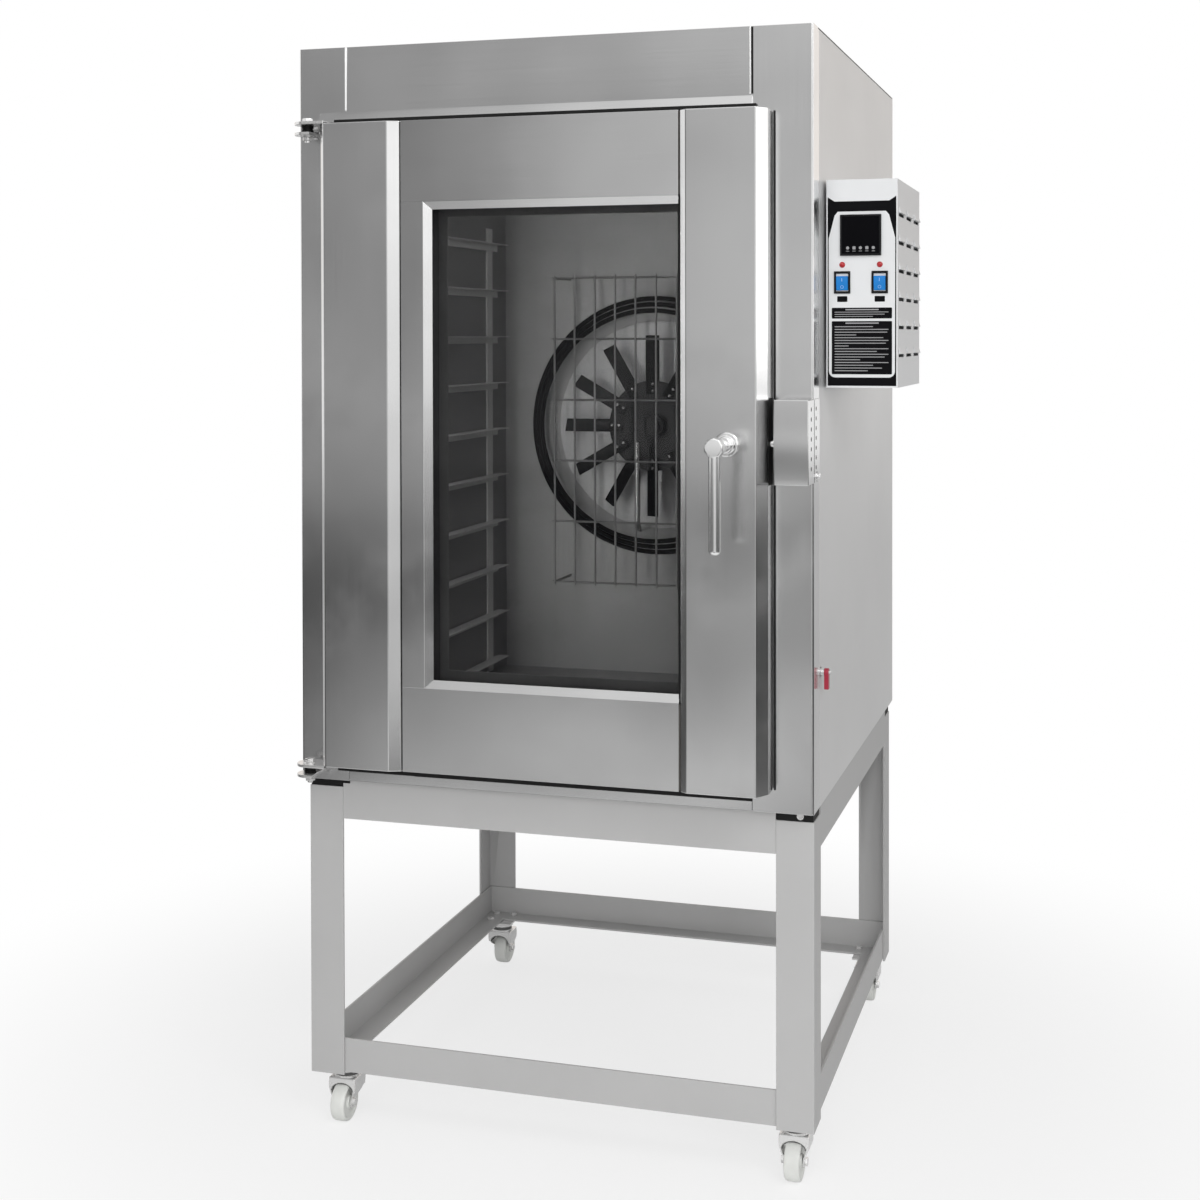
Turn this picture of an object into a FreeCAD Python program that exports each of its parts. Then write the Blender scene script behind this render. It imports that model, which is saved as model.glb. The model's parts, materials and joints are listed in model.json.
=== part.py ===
import FreeCAD, Part
import math
import os
from FreeCAD import Vector

# Rack convection oven on a wheeled angle-iron stand, in millimetres, +Z up, front face towards -Y.
# Built about the cabinet: x = 0 at its centre, y = 0 at its front plane, z = 0 on the floor.

# Cabinet
CAB_W = 860.0
CAB_D = 905.0
CAB_H = 1210.0
CAB_Z = 590.0
SHEET = 1.5
SEAM = 0.6
SIDE_WALL = 110.0
STILE_SHORT = (25.0, 14.0)
LEFT_STILE_W = SIDE_WALL - STILE_SHORT[0]
RIGHT_STILE_W = SIDE_WALL - STILE_SHORT[1]
STILE_RETURN = 48.0
STILE_BEND_R = 4.0
LIP_H = 17.0
LIP_OUT = 7.0
HEADER_H = 106.0
LIP_OVERHANG = (47.0, 18.0)
HALF_W = CAB_W / 2
CAB_TOP = CAB_Z + CAB_H

# Chamber
CHAMBER_D = 697.0
FLOOR_LIFT = 70.0
CEILING_DROP = 160.0
CHAMBER_BACK = 2 * SHEET + CHAMBER_D
CHAMBER_X = HALF_W - SIDE_WALL
CHAMBER_Z0 = CAB_Z + FLOOR_LIFT
CHAMBER_Z1 = CAB_TOP - CEILING_DROP
WOOL_GAP = 0.5
BACK_WOOL = 73.0
BULKHEAD_T = 2.0
BULKHEAD_Y = CHAMBER_BACK + SHEET + BACK_WOOL

# Tray racks
RACK_LEVELS = 10
RACK_PITCH = 90.5
RACK_FIRST = 31.0
RUNNER_W = 24.0
RUNNER_DROP = 14.0
RUNNER_INSET = (70.0, 60.0)
RUNNER_Y = (RUNNER_INSET[0], CHAMBER_BACK - RUNNER_INSET[1])
POST_T = 3.0
POST_W = 30.0
POST_INSET = (110.0, 115.0)
POST_Y = (POST_INSET[0], CHAMBER_BACK - POST_INSET[1])
POST_ENDS = (26.0, 30.0)

# Fan, motor and heaters
FAN_Z = (CHAMBER_Z0 + CHAMBER_Z1) / 2
FAN_BLADES = 12
FAN_TIP_R = 176.0
FAN_DISC_R = 88.0
FAN_ROOT_R = 62.0
BLADE_W = 27.0
BLADE_T = 2.0
BLADE_PITCH = 28.0
FAN_GAP = 50.0
FAN_Y = CHAMBER_BACK - FAN_GAP
HUB_R = 24.0
SHAFT_R = 10.0
SHAFT_CLEAR = 3.0
SHAFT_FRONT = 22.0
SHAFT_BACK_GAP = 2.0
FAN_HUB_Y = (-14.0, 18.0)
FAN_NOSE = 10.0
FAN_NOSE_STEP = 7.0
FAN_DISC_Y = (2.0, 4.0)
RUN_FIT = 0.05
MOTOR_R = 70.0
MOTOR_FLANGE_R = 85.0
MOTOR_L = 108.0
MOTOR_FLANGE_T = 8.0
MOTOR_CAP = 10.0
MOTOR_BORE = 80.0
TERMINAL_W = 70.0
TERMINAL_Y = (25.0, 80.0)
TERMINAL_H = 30.0
HEATER_R = (248.0, 236.0, 224.0)
HEATER_GAPS = (28.0, 42.0, 56.0)
HEATER_TUBE_R = 4.5
HEATER_BEND = 14.0
HEATER_ENDS = (-59.0, 287.0)
HEATER_TAIL = 24.0
GUARD_GAP = 100.0
GUARD_Y = CHAMBER_BACK - GUARD_GAP
GUARD_WIRE_R = 2.0
GUARD_LEG_R = 2.5
GUARD_TAIL = 6.0
GUARD_COLS = 10
GUARD_COL_PITCH = 40.8
GUARD_ROWS = 6
GUARD_ROW_PITCH = 118.0
GUARD_DROP = 8.0
GUARD_Z = FAN_Z - GUARD_DROP

# Services on the back
VENT_ROWS = 8
VENT_PITCH = 30.0
VENT_X = (-110.0, 0.0, 110.0)
VENT_L = 80.0
VENT_H = 6.0
STEAM_X = -20.0
STEAM_DROP = 200.0
STEAM_R = 5.0
STEAM_WALL = 1.2
STEAM_GAP = 87.0
STEAM_Y = CHAMBER_BACK - STEAM_GAP
STEAM_BEND = 22.0
STEAM_TOP_GAP = 6.0
STEAM_NUT = (9.0, 24.0)
TAIL_LAP = 4.0
TAIL_R = 7.0
TAIL_OUT = 30.0
FLUE_R = 30.0
FLUE_IN_X = 85.0
FLUE_DROP = 80.0
FLUE_X = CHAMBER_X - FLUE_IN_X
FLUE_Z = CHAMBER_Z1 - FLUE_DROP
FLUE_OUT = 45.0
FLUE_WALL = 1.5
FLUE_IN = 4.0
FLUE_COLLAR_T = 2.0
FLUE_COLLAR_R = 44.0
GLAND_IN_X = 130.0
GLAND_UP = 90.0
GLAND_X = HALF_W - GLAND_IN_X
GLAND_Z = CAB_Z + GLAND_UP
GLAND_BORE_R = 7.0
GLAND_HEX = (9.0, 30.0)
GLAND_NUT_H = 6.0
GLAND_OUT = 27.0
GLAND_IN = 14.0
GLAND_DOME_R = 13.0
GLAND_ROUND = 4.0
GLAND_THREAD_R = 12.2
PROBE_IN_X = 85.0
PROBE_UP = 300.0
PROBE_X = CHAMBER_X - PROBE_IN_X
PROBE_Z = FAN_Z + PROBE_UP
PROBE_R = 3.0
PROBE_REACH = 70.0
PROBE_FITTING = (10.0, 17.0)

# Door
DOOR_OVERLAP = (46.0, 47.0)
DOOR_FOOT = 36.0
DOOR_TOP_GAP = 8.0
DOOR_X = (-CHAMBER_X - DOOR_OVERLAP[0], CHAMBER_X + DOOR_OVERLAP[1])
DOOR_Z = (CAB_Z + DOOR_FOOT, CAB_TOP - HEADER_H - LIP_H - DOOR_TOP_GAP)
DOOR_BACK = -4.0
DOOR_FRONT = -62.0
DOOR_RECESS = 8.0
PILASTER_W = (119.0, 114.0)
FLANK_W = 19.0
LEFT_CHAMFER = 8.0
RIGHT_BEVEL = (14.0, 24.0)
RIGHT_LIP = 5.0
RIGHT_CHAMFER = 4.0
WINDOW_STILE_W = 40.0
WINDOW_RAILS = (136.0, 130.0)
BEVEL_W = 12.5
BEVEL_D = 9.0
GLASS_T = 5.0
INNER_GLASS_T = 4.0
GLASS_UNDER = (5.0, 6.0, 4.0)
GLASS_PLAY = 0.1
INNER_LIP = (18.0, 10.0)
DOOR_WOOL_GAP = 2.0
LATCH_ROOM = 60.0
GASKET_W = 10.0
GASKET_GAP = 0.3
GASKET_IN = 2.0
PANEL_FRONT = DOOR_BACK - SHEET
RECESS_Y = DOOR_FRONT + DOOR_RECESS
PANEL_X = (DOOR_X[0] + PILASTER_W[0] + FLANK_W, DOOR_X[1] - RIGHT_BEVEL[0] - PILASTER_W[1] - RIGHT_LIP)
WINDOW_X0 = PANEL_X[0] + WINDOW_STILE_W
WINDOW_Z = (DOOR_Z[0] + WINDOW_RAILS[0], DOOR_Z[1] - WINDOW_RAILS[1])

# Door hinges
PIVOT_OUT = 32.0
PIVOT_X = DOOR_X[0] - PIVOT_OUT
PIVOT_Y = -35.0
PIN_R = 6.0
LEAF_T = 5.0
LEAF_R = 21.0
LEAF_LEN = 98.0
BUSH_H = 12.0
BUSH_R = 12.0
NUT_H = 9.0
PIVOT_HEAD = (7.5, 19.0)
HINGE_PLAY = 0.3
LEAF_TRIM = 0.5
BRACKET_T = 3.0
BRACKET_DOWN = 45.0
BRACKET_UP = 50.0

# Handle and latch
HANDLE_IN = 59.0
HANDLE_UP = 534.0
HANDLE_X = DOOR_X[1] - HANDLE_IN
HANDLE_Z = DOOR_Z[0] + HANDLE_UP
HANDLE_OUT = 80.0
LEVER_R = 9.0
SPINDLE_CLEAR = 1.0
LEVER_L = 158.0
HUB_DISC_R = 15.0
HUB_DISC_T = 21.0
ROSE_R = 25.0
ROSE_T = 5.0
ROSE_BOSS = 20.0
ROSE_BOSS_R = 14.0
BOLT_R = 7.0
BOLT_Y = -23.0
STRIKE_GAP = 11.5
STRIKE_REACH = (61.0, 68.0)
STRIKE_SET = 6.0
STRIKE_X = DOOR_X[1] + STRIKE_GAP
STRIKE_Z = (HANDLE_Z - STRIKE_REACH[0], HANDLE_Z + STRIKE_REACH[1])
STRIKE_FRONT = DOOR_FRONT + STRIKE_SET
STRIKE_WRAP = 44.0
BOLT_GAP = 1.0
BOLT_TAIL = 68.0
BOLT_ROUND = 5.0
LATCH_L = 80.0
LATCH_HALF_H = 26.0
PERF_FIRST = 26.7
STRIKE_BOLT = (5.5, 13.0)
STRIKE_BOLT_IN = (22.0, 9.0)
PERF_R = 2.2
PERF_PITCH = 14.3
PERF_Y = (-24.0, -2.0)
PERF_ROWS = 7

# Control box on the right side
CTRL_STANDOFF = 5.0
CTRL_W = 111.0
CTRL_Y = 85.0
CTRL_D = 285.0
CTRL_DROP = 232.0
CTRL_H = 325.0
CTRL_Z = (CAB_TOP - CTRL_DROP - CTRL_H, CAB_TOP - CTRL_DROP)
PLATE_T = 2.0
LOUVRE_ROWS = 6
LOUVRE_COLS = 3
LOUVRE_PITCH = 44.0
LOUVRE_L = 66.0
LOUVRE_OUT = 4.0
LOUVRE_H = 12.0
LOUVRE_SLOT = 5.0
LOUVRE_WALL = 1.0
CTRL_FOOT_IN = 35.0
CTRL_FOOT_R = 8.0
CTRL_X = HALF_W + CTRL_STANDOFF
SWITCH_IN = (25.0, 83.5)
SWITCH_DROP = 160.5
SWITCH_X = (CTRL_X + SWITCH_IN[0], CTRL_X + SWITCH_IN[1])
SWITCH_Z = CTRL_Z[1] - SWITCH_DROP
SWITCH_W = 25.5
SWITCH_H = 35.0
SWITCH_RIM = 3.0
SWITCH_BODY = (21.4, 29.4)
SWITCH_WELL = (19.0, 27.4)
SWITCH_DEEP = 24.0
SWITCH_FLOOR = 4.0
LAMP_DROP = 133.0
LAMP_Z = CTRL_Z[1] - LAMP_DROP
LAMP_R = 3.6
LAMP_OUT = 4.0
LAMP_IN = 14.0
LAMP_ROUND = 2.0
LAMP_FLANGE = 1.0
DISPLAY_SIZE = 64.0
DISPLAY_LAP = 4.0
DISPLAY_OUT = 5.0
DISPLAY_DEEP = 62.0
DISPLAY_IN = 54.0
DISPLAY_DROP = 87.0
DISPLAY_X = CTRL_X + DISPLAY_IN
DISPLAY_Z = CTRL_Z[1] - DISPLAY_DROP
ROCKER_TILT = 8.0
ROCKER_PIVOT = 7.0
ROCKER_W = 18.4
ROCKER_HALF_H = 11.4
ROCKER_FRONT = (11.0, 12.0)
ROCKER_BACK = (10.0, 1.0, 6.0)
CONTACTOR_W = 62.0
CONTACTOR_Y = (160.0, 240.0)
CONTACTOR_Z = (40.0, 125.0)
VALVE_Y = 60.0
VALVE_STEM_R = 6.0
VALVE_SPIGOT_R = 3.0
VALVE_IN = 16.0
VALVE_OUT = 14.0
VALVE_TIP = 24.0
VALVE_NUT = (6.0, 17.0)
VALVE_LOCK_H = 5.0
VALVE_POCKET = 30.0
VALVE_POCKET_R = 14.0
VALVE_LEVER_T = 7.0
VALVE_LEVER_W = 11.0
VALVE_LEVER_L = 26.0
VALVE_EYE_R = 6.5
VALVE_UP = 210.0
VALVE_Z = CAB_Z + VALVE_UP

# Stand and casters
STAND_IN = 3.5
STAND_BACK = 23.0
ANGLE = 60.0
IRON = 4.0
LEG_GAP = 9.0
TOP_RAIL_H = 70.0
LOW_RAIL_H = 57.0
LOW_FLANGE = 45.0
TOP_FLANGE = 50.0
GUSSET = 52.0
FOOT_BOLT_IN = 30.0
FOOT_BOLT_R = 5.0
FOOT_BOLT_L = 22.0
FOOT_HEAD_FLATS = 16.0
CASTER_BOLT_R = 4.0
CASTER_BOLT_IN = 7.5
CASTER_HEAD = (5.3, 13.0)
HOLE_FIT = 0.3
CUT_PLAY = 0.5
CASTER_INSET = (45.5, 36.5, 44.0)
CASTER_TRAIL = 13.0
CASTER_PLATE = 54.0
CASTER_PLATE_T = 3.0
WHEEL_R = 31.5
LEG_LIFT = 26.0
LEG_Z0 = 2 * WHEEL_R + LEG_LIFT
WHEEL_W = 25.0
FORK_T = 2.5
KINGPIN_R = 5.0
RIVET_RIM = 3.0
CROWN_T = 4.0
CROWN_GAP = 0.5
CROWN_HALF = 20.0
RACE_R = 21.0
EYE_R = 9.0
HUB_PLAY = 1.0
AXLE_R = 4.0
AXLE_NUT = 5.0
AXLE_FLATS = 12.0
WHEEL_HUB_R = 11.0
CROWN_LIFT = 12.0
TREAD_ROUND = 4.0
STAND_X = HALF_W - STAND_IN
CASTER_X = (-STAND_X + CASTER_INSET[0], STAND_X - CASTER_INSET[1])
CASTER_IN = STAND_BACK + CASTER_INSET[2]
STAND_Y = (STAND_BACK, CAB_D - STAND_BACK)
LOW_RAIL_Z = LEG_Z0 + IRON
CASTER_TOP = LOW_RAIL_Z - CASTER_PLATE_T
CROWN_Z = 2 * WHEEL_R + CROWN_LIFT

# Reach of the whole oven, used to put the origin under the middle of its box
LEFT_REACH = -HALF_W
RIGHT_REACH = CTRL_X + CTRL_W + LOUVRE_OUT
FRONT_REACH = DOOR_FRONT - HANDLE_OUT - HUB_DISC_T / 2
REAR_REACH = CAB_D + FLUE_OUT
ROW_SHIFT = Vector(-(LEFT_REACH + RIGHT_REACH) / 2, -(FRONT_REACH + REAR_REACH) / 2, 0)

X_AXIS = Vector(1, 0, 0)
Y_AXIS = Vector(0, 1, 0)
Z_AXIS = Vector(0, 0, 1)


def box(x, y, z):
    """Box from three (low, high) pairs."""
    return Part.makeBox(x[1] - x[0], y[1] - y[0], z[1] - z[0], Vector(x[0], y[0], z[0]))


def rod(start, end, radius):
    """Round bar between two points."""
    a = Vector(*start)
    run = Vector(*end) - a
    return Part.makeCylinder(radius, run.Length, a, run)


def pipe_ring(start, end, outer, inner):
    return rod(start, end, outer).cut(rod(start, end, inner))


def hexagon(start, height, flats, axis):
    """Hexagonal prism with its base centre at start."""
    side = X_AXIS if axis.x == 0 else Y_AXIS
    other = axis.cross(side)
    reach = flats / math.sqrt(3)
    base = Vector(*start)
    ring = []
    for step in range(7):
        turn = math.radians(60 * step)
        ring.append(base + side * (reach * math.cos(turn)) + other * (reach * math.sin(turn)))
    return Part.Face(Part.makePolygon(ring)).extrude(axis * height)


def prism(points, travel):
    """Closed polygon of 3-D points pushed along a vector."""
    ring = [Vector(*p) for p in points]
    return Part.Face(Part.makePolygon(ring + ring[:1])).extrude(travel)


def fold(points, thick):
    """Sheet outline: an open 2-D line and its copy moved thick to the right of travel."""
    lines = []
    for a, b in zip(points, points[1:]):
        length = math.hypot(b[0] - a[0], b[1] - a[1])
        nx = (b[1] - a[1]) / length * thick
        ny = -(b[0] - a[0]) / length * thick
        lines.append(((a[0] + nx, a[1] + ny), (b[0] + nx, b[1] + ny)))
    moved = [lines[0][0]]
    for (p, q), (r, s) in zip(lines, lines[1:]):
        d1 = (q[0] - p[0], q[1] - p[1])
        d2 = (s[0] - r[0], s[1] - r[1])
        cross = d1[0] * d2[1] - d1[1] * d2[0]
        along = ((r[0] - p[0]) * d2[1] - (r[1] - p[1]) * d2[0]) / cross
        moved.append((p[0] + along * d1[0], p[1] + along * d1[1]))
    moved.append(lines[-1][1])
    return list(points) + moved[::-1]


def fused(shapes):
    return shapes[0].multiFuse(shapes[1:]).removeSplitter() if len(shapes) > 1 else shapes[0]


def drilled(shape, tools):
    return shape.cut(Part.Compound(tools)) if tools else shape


def mirrored_x(shape):
    return shape.mirror(Vector(0, 0, 0), X_AXIS)


def mirrored_y(shape):
    return shape.mirror(Vector(0, CAB_D / 2, 0), Y_AXIS)


# Stand


def stand_legs():
    """Angle leg with a corner gusset near its top, at each corner."""
    x0, y0 = -STAND_X, STAND_Y[0]
    z = (LEG_Z0, CAB_Z - LEG_GAP)
    outline = fold([(x0, y0 + ANGLE), (x0, y0), (x0 + ANGLE, y0)], -IRON)
    angle = prism([(x, y, z[0]) for x, y in outline], Z_AXIS * (z[1] - z[0]))
    gusset = box((x0 + IRON, x0 + GUSSET), (y0 + IRON, y0 + GUSSET), (z[1] - IRON, z[1]))
    at = (x0 + FOOT_BOLT_IN, y0 + FOOT_BOLT_IN)
    hole = rod((*at, z[1] - 2 * IRON), (*at, z[1] + 1), FOOT_BOLT_R + HOLE_FIT)
    leg = fused([angle, gusset.cut(hole)])
    front = [leg, mirrored_x(leg)]
    return front + [mirrored_y(one) for one in front]


def stand_rails():
    """Upper rails between the legs, lower rails inside the legs."""
    top = (CAB_Z - TOP_RAIL_H, CAB_Z)
    long_x = (-STAND_X + ANGLE, STAND_X - ANGLE)
    long_y = (STAND_Y[0] + ANGLE, STAND_Y[1] - ANGLE)
    y0, x0 = STAND_Y[0], -STAND_X
    front = fused([box(long_x, (y0, y0 + IRON), top),
                   box(long_x, (y0 + IRON, y0 + TOP_FLANGE), (CAB_Z - IRON, CAB_Z))])
    left = fused([box((x0, x0 + IRON), long_y, top),
                  box((x0 + IRON, x0 + TOP_FLANGE), long_y, (CAB_Z - IRON, CAB_Z))])
    y1, x1 = y0 + IRON, x0 + IRON
    low = (LOW_RAIL_Z, LOW_RAIL_Z + LOW_RAIL_H)
    foot = (LOW_RAIL_Z, LOW_RAIL_Z + IRON)
    across = (x1, -x1)
    low_front = fused([box(across, (y1, y1 + IRON), low), box(across, (y1 + IRON, y1 + LOW_FLANGE), foot)])
    low_back = mirrored_y(low_front)
    span = (y1, CAB_D - y1)
    low_left = fused([box((x1, x1 + IRON), span, low), box((x1 + IRON, x1 + LOW_FLANGE), span, foot)])
    low_left = low_left.cut(Part.Compound([low_front, low_back]))
    holes = caster_bolt_holes(foot)
    low = [low_front, low_back, low_left, mirrored_x(low_left)]
    return [front, mirrored_y(front), left, mirrored_x(left)] + [drilled(one, holes) for one in low]


def caster_spots():
    """Swivel centres: front left, front right, rear left, rear right."""
    return [(x, y) for y in (CASTER_IN, CAB_D - CASTER_IN) for x in CASTER_X]


def caster_bolt_spots():
    """Three bolts on each plate, where a rail flange lies over it."""
    reach = CASTER_PLATE / 2 - CASTER_BOLT_IN
    spots = []
    for x, y in caster_spots():
        out_x = math.copysign(reach, x)
        out_y = math.copysign(reach, y - CAB_D / 2)
        spots += [(x + out_x, y + out_y), (x + out_x, y - out_y), (x - out_x, y + out_y)]
    return spots


def caster_bolt_holes(z):
    """Cutters for the caster bolts through one layer."""
    radius = CASTER_BOLT_R + HOLE_FIT
    return [rod((x, y, z[0] - 1), (x, y, z[1] + 1), radius) for x, y in caster_bolt_spots()]


def stand_bolts():
    """Caster bolts through the lower flanges and the bolts that carry the cabinet on the legs."""
    bolts = []
    for x, y in caster_bolt_spots():
        top = LOW_RAIL_Z + IRON
        head = hexagon((x, y, top), *CASTER_HEAD, Z_AXIS)
        bolts.append(fused([head, rod((x, y, CASTER_TOP), (x, y, top), CASTER_BOLT_R)]))
    leg_top = CAB_Z - LEG_GAP
    reach = STAND_X - FOOT_BOLT_IN
    for x in (-reach, reach):
        for y in (STAND_Y[0] + FOOT_BOLT_IN, STAND_Y[1] - FOOT_BOLT_IN):
            head = hexagon((x, y, leg_top), LEG_GAP, FOOT_HEAD_FLATS, Z_AXIS)
            bolts.append(fused([head, rod((x, y, leg_top - FOOT_BOLT_L), (x, y, leg_top), FOOT_BOLT_R)]))
    return bolts


def caster_plates():
    """Square top plate with a kingpin riveted below it."""
    plates = []
    half = CASTER_PLATE / 2
    z = (CASTER_TOP, LOW_RAIL_Z)
    holes = caster_bolt_holes(z)
    for x, y in caster_spots():
        plate = box((x - half, x + half), (y - half, y + half), z).cut(Part.Compound(holes))
        low = CROWN_Z - CROWN_GAP
        pin = rod((x, y, low), (x, y, z[0]), KINGPIN_R)
        rivet = rod((x, y, low - RIVET_RIM), (x, y, low), KINGPIN_R + RIVET_RIM)
        plates.append(fused([plate, pin, rivet]))
    return plates


def caster_fork(x, y, trail):
    """Ball-race crown, two cheeks down to the axle, and the axle bolt."""
    gap = WHEEL_W / 2 + HUB_PLAY
    wide = gap + FORK_T
    crown_top = CROWN_Z + CROWN_T
    crown = box((x - wide, x + wide), (y - CROWN_HALF, y + CROWN_HALF), (CROWN_Z, crown_top))
    race = rod((x, y, crown_top), (x, y, CASTER_TOP - HOLE_FIT), RACE_R)
    eye_y = y + trail
    cheeks = []
    for side in (-1, 1):
        x_in = x + side * gap
        x_low = min(x_in, x_in + side * FORK_T)
        plate = prism([(x_low, y - CROWN_HALF, crown_top), (x_low, y + CROWN_HALF, crown_top),
                       (x_low, eye_y + EYE_R, WHEEL_R), (x_low, eye_y - EYE_R, WHEEL_R)], X_AXIS * FORK_T)
        eye = rod((x_low, eye_y, WHEEL_R), (x_low + FORK_T, eye_y, WHEEL_R), EYE_R)
        cheeks += [plate, eye]
    fork = fused([crown, race] + cheeks)
    fork = fork.cut(rod((x, y, CROWN_Z - 1), (x, y, CASTER_TOP), KINGPIN_R + RUN_FIT))
    ends = (x - wide, x + wide)
    fork = fork.cut(rod((ends[0] - 1, eye_y, WHEEL_R), (ends[1] + 1, eye_y, WHEEL_R), AXLE_R + RUN_FIT))
    head = hexagon((ends[0] - AXLE_NUT, eye_y, WHEEL_R), AXLE_NUT, AXLE_FLATS, X_AXIS)
    nut = hexagon((ends[1], eye_y, WHEEL_R), AXLE_NUT, AXLE_FLATS, X_AXIS)
    axle = fused([head, rod((ends[0], eye_y, WHEEL_R), (ends[1], eye_y, WHEEL_R), AXLE_R), nut])
    return [fork, axle]


def caster_wheel(x, y, trail):
    """Solid nylon wheel with rounded shoulders and a hub."""
    y = y + trail
    half = WHEEL_W / 2
    tread = rod((x - half, y, WHEEL_R), (x + half, y, WHEEL_R), WHEEL_R)
    rims = [e for e in tread.Edges if len(e.Vertexes) == 1]
    tread = tread.makeFillet(TREAD_ROUND, rims)
    hub_half = half + HUB_PLAY - HOLE_FIT
    hub = rod((x - hub_half, y, WHEEL_R), (x + hub_half, y, WHEEL_R), WHEEL_HUB_R)
    bore = rod((x - hub_half - 1, y, WHEEL_R), (x + hub_half + 1, y, WHEEL_R), AXLE_R + RUN_FIT)
    return [fused([tread, hub]).cut(bore)]


# Cabinet


def side_panels():
    """Flat side sheets; the right one has a hole for the valve stem."""
    y = (STILE_RETURN + SEAM, CAB_D - SHEET)
    left = box((-HALF_W, -HALF_W + SHEET), y, (CAB_Z, CAB_TOP))
    hole = rod((HALF_W - 5, VALVE_Y, VALVE_Z), (HALF_W + 5, VALVE_Y, VALVE_Z), VALVE_STEM_R + HOLE_FIT)
    return [left, mirrored_x(left).cut(hole)]


def deck(z):
    """Horizontal sheet inside the skin, trimmed to the bends of the stiles."""
    inner = HALF_W - SHEET
    sheet = box((-inner, inner), (SHEET, CAB_D - SHEET), z)
    return sheet.cut(Part.Compound(left_stile() + right_stile()))


def top_panel():
    return [deck((CAB_TOP - SHEET, CAB_TOP))]


def base_panel():
    return [deck((CAB_Z, CAB_Z + SHEET))]


def back_panel():
    """Rear sheet with cooling slots behind the motor and holes for the services."""
    y = (CAB_D - SHEET, CAB_D)
    panel = box((-HALF_W, HALF_W), y, (CAB_Z, CAB_TOP))
    cut_y = (y[0] - 1, y[1] + 1)
    slots = []
    for row in range(VENT_ROWS):
        z = FAN_Z + VENT_PITCH * (row - (VENT_ROWS - 1) / 2)
        for x in VENT_X:
            slots.append(box((x - VENT_L / 2, x + VENT_L / 2), cut_y, (z - VENT_H / 2, z + VENT_H / 2)))
    slots.append(rod((FLUE_X, cut_y[0], FLUE_Z), (FLUE_X, cut_y[1], FLUE_Z), FLUE_R + HOLE_FIT))
    slots.append(rod((GLAND_X, cut_y[0], GLAND_Z), (GLAND_X, cut_y[1], GLAND_Z), GLAND_THREAD_R + HOLE_FIT))
    steam_z = FAN_Z - STEAM_DROP
    slots.append(rod((STEAM_X, cut_y[0], steam_z), (STEAM_X, cut_y[1], steam_z), TAIL_R + HOLE_FIT))
    return [drilled(panel, slots)]


def rounded_stile(x_edge, x_inner):
    """Front upright folded round the corner of the cabinet."""
    way = 1 if x_inner > x_edge else -1
    r_out = STILE_BEND_R
    r_in = STILE_BEND_R - SHEET
    face = box(sorted((x_edge + way * r_out, x_inner)), (0, SHEET), (CAB_Z, CAB_TOP))
    flank = box(sorted((x_edge, x_edge + way * SHEET)), (r_out, STILE_RETURN), (CAB_Z, CAB_TOP))
    centre = (x_edge + way * r_out, r_out)
    bend = pipe_ring((*centre, CAB_Z), (*centre, CAB_TOP), r_out, r_in)
    quarter = box(sorted((x_edge, centre[0])), (0, r_out), (CAB_Z, CAB_TOP))
    return fused([face, flank, bend.common(quarter)])


def left_stile():
    return [rounded_stile(-HALF_W, -HALF_W + LEFT_STILE_W)]


def right_stile():
    return [rounded_stile(HALF_W, HALF_W - RIGHT_STILE_W)]


def front_header():
    """Flat header between the stiles with a wedge-shaped drip lip over the door."""
    x = (-HALF_W + LEFT_STILE_W, HALF_W - RIGHT_STILE_W)
    z = CAB_TOP - HEADER_H
    plate = box(x, (0, SHEET), (z, CAB_TOP))
    lip_x = (x[0] - LIP_OVERHANG[0], x[1] + LIP_OVERHANG[1])
    wedge = [(lip_x[0], 0, z), (lip_x[0], -LIP_OUT, z - LIP_H), (lip_x[0], 0, z - LIP_H)]
    lip = prism(wedge, X_AXIS * (lip_x[1] - lip_x[0]))
    tie = box(x, (0, SHEET), (z - LIP_H, z))
    return [fused([plate, tie, lip])]


def mouth_frame():
    """Four flat strips round the chamber mouth, behind the stiles."""
    y = (SHEET, 2 * SHEET)
    inner = HALF_W - STILE_BEND_R
    tall = (CAB_Z + SHEET, CAB_TOP - SHEET)
    left = box((-inner, -CHAMBER_X), y, tall)
    over = box((-CHAMBER_X, CHAMBER_X), y, (CHAMBER_Z1, tall[1]))
    under = box((-CHAMBER_X, CHAMBER_X), y, (tall[0], CHAMBER_Z0))
    return [left, mirrored_x(left), over, under]


def chamber_liner():
    """Side walls, ceiling and floor of the chamber."""
    y = (2 * SHEET, CHAMBER_BACK)
    tall = (CHAMBER_Z0 - SHEET, CHAMBER_Z1 + SHEET)
    left = box((-CHAMBER_X - SHEET, -CHAMBER_X), y, tall)
    across = (-CHAMBER_X, CHAMBER_X)
    ceiling = box(across, y, (CHAMBER_Z1, tall[1]))
    floor = box(across, y, (tall[0], CHAMBER_Z0))
    return [left, mirrored_x(left), ceiling, floor]


def rear_holes(extra):
    """Cutters through the rear layers for the shaft, heaters, flue and steam pipe."""
    y = (CHAMBER_BACK - 2, BULKHEAD_Y + BULKHEAD_T + 2)
    cutters = [rod((0, y[0], FAN_Z), (0, y[1], FAN_Z), SHAFT_R + SHAFT_CLEAR)]
    for radius in HEATER_R:
        for x, z in heater_leg_spots(radius):
            cutters.append(rod((x, y[0], z), (x, y[1], z), HEATER_TUBE_R + HOLE_FIT + extra))
    cutters.append(rod((FLUE_X, y[0], FLUE_Z), (FLUE_X, y[1], FLUE_Z), FLUE_R + HOLE_FIT + extra))
    steam_z = FAN_Z - STEAM_DROP
    cutters.append(rod((STEAM_X, y[0], steam_z), (STEAM_X, y[1], steam_z), STEAM_R + HOLE_FIT + extra))
    return cutters


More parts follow.
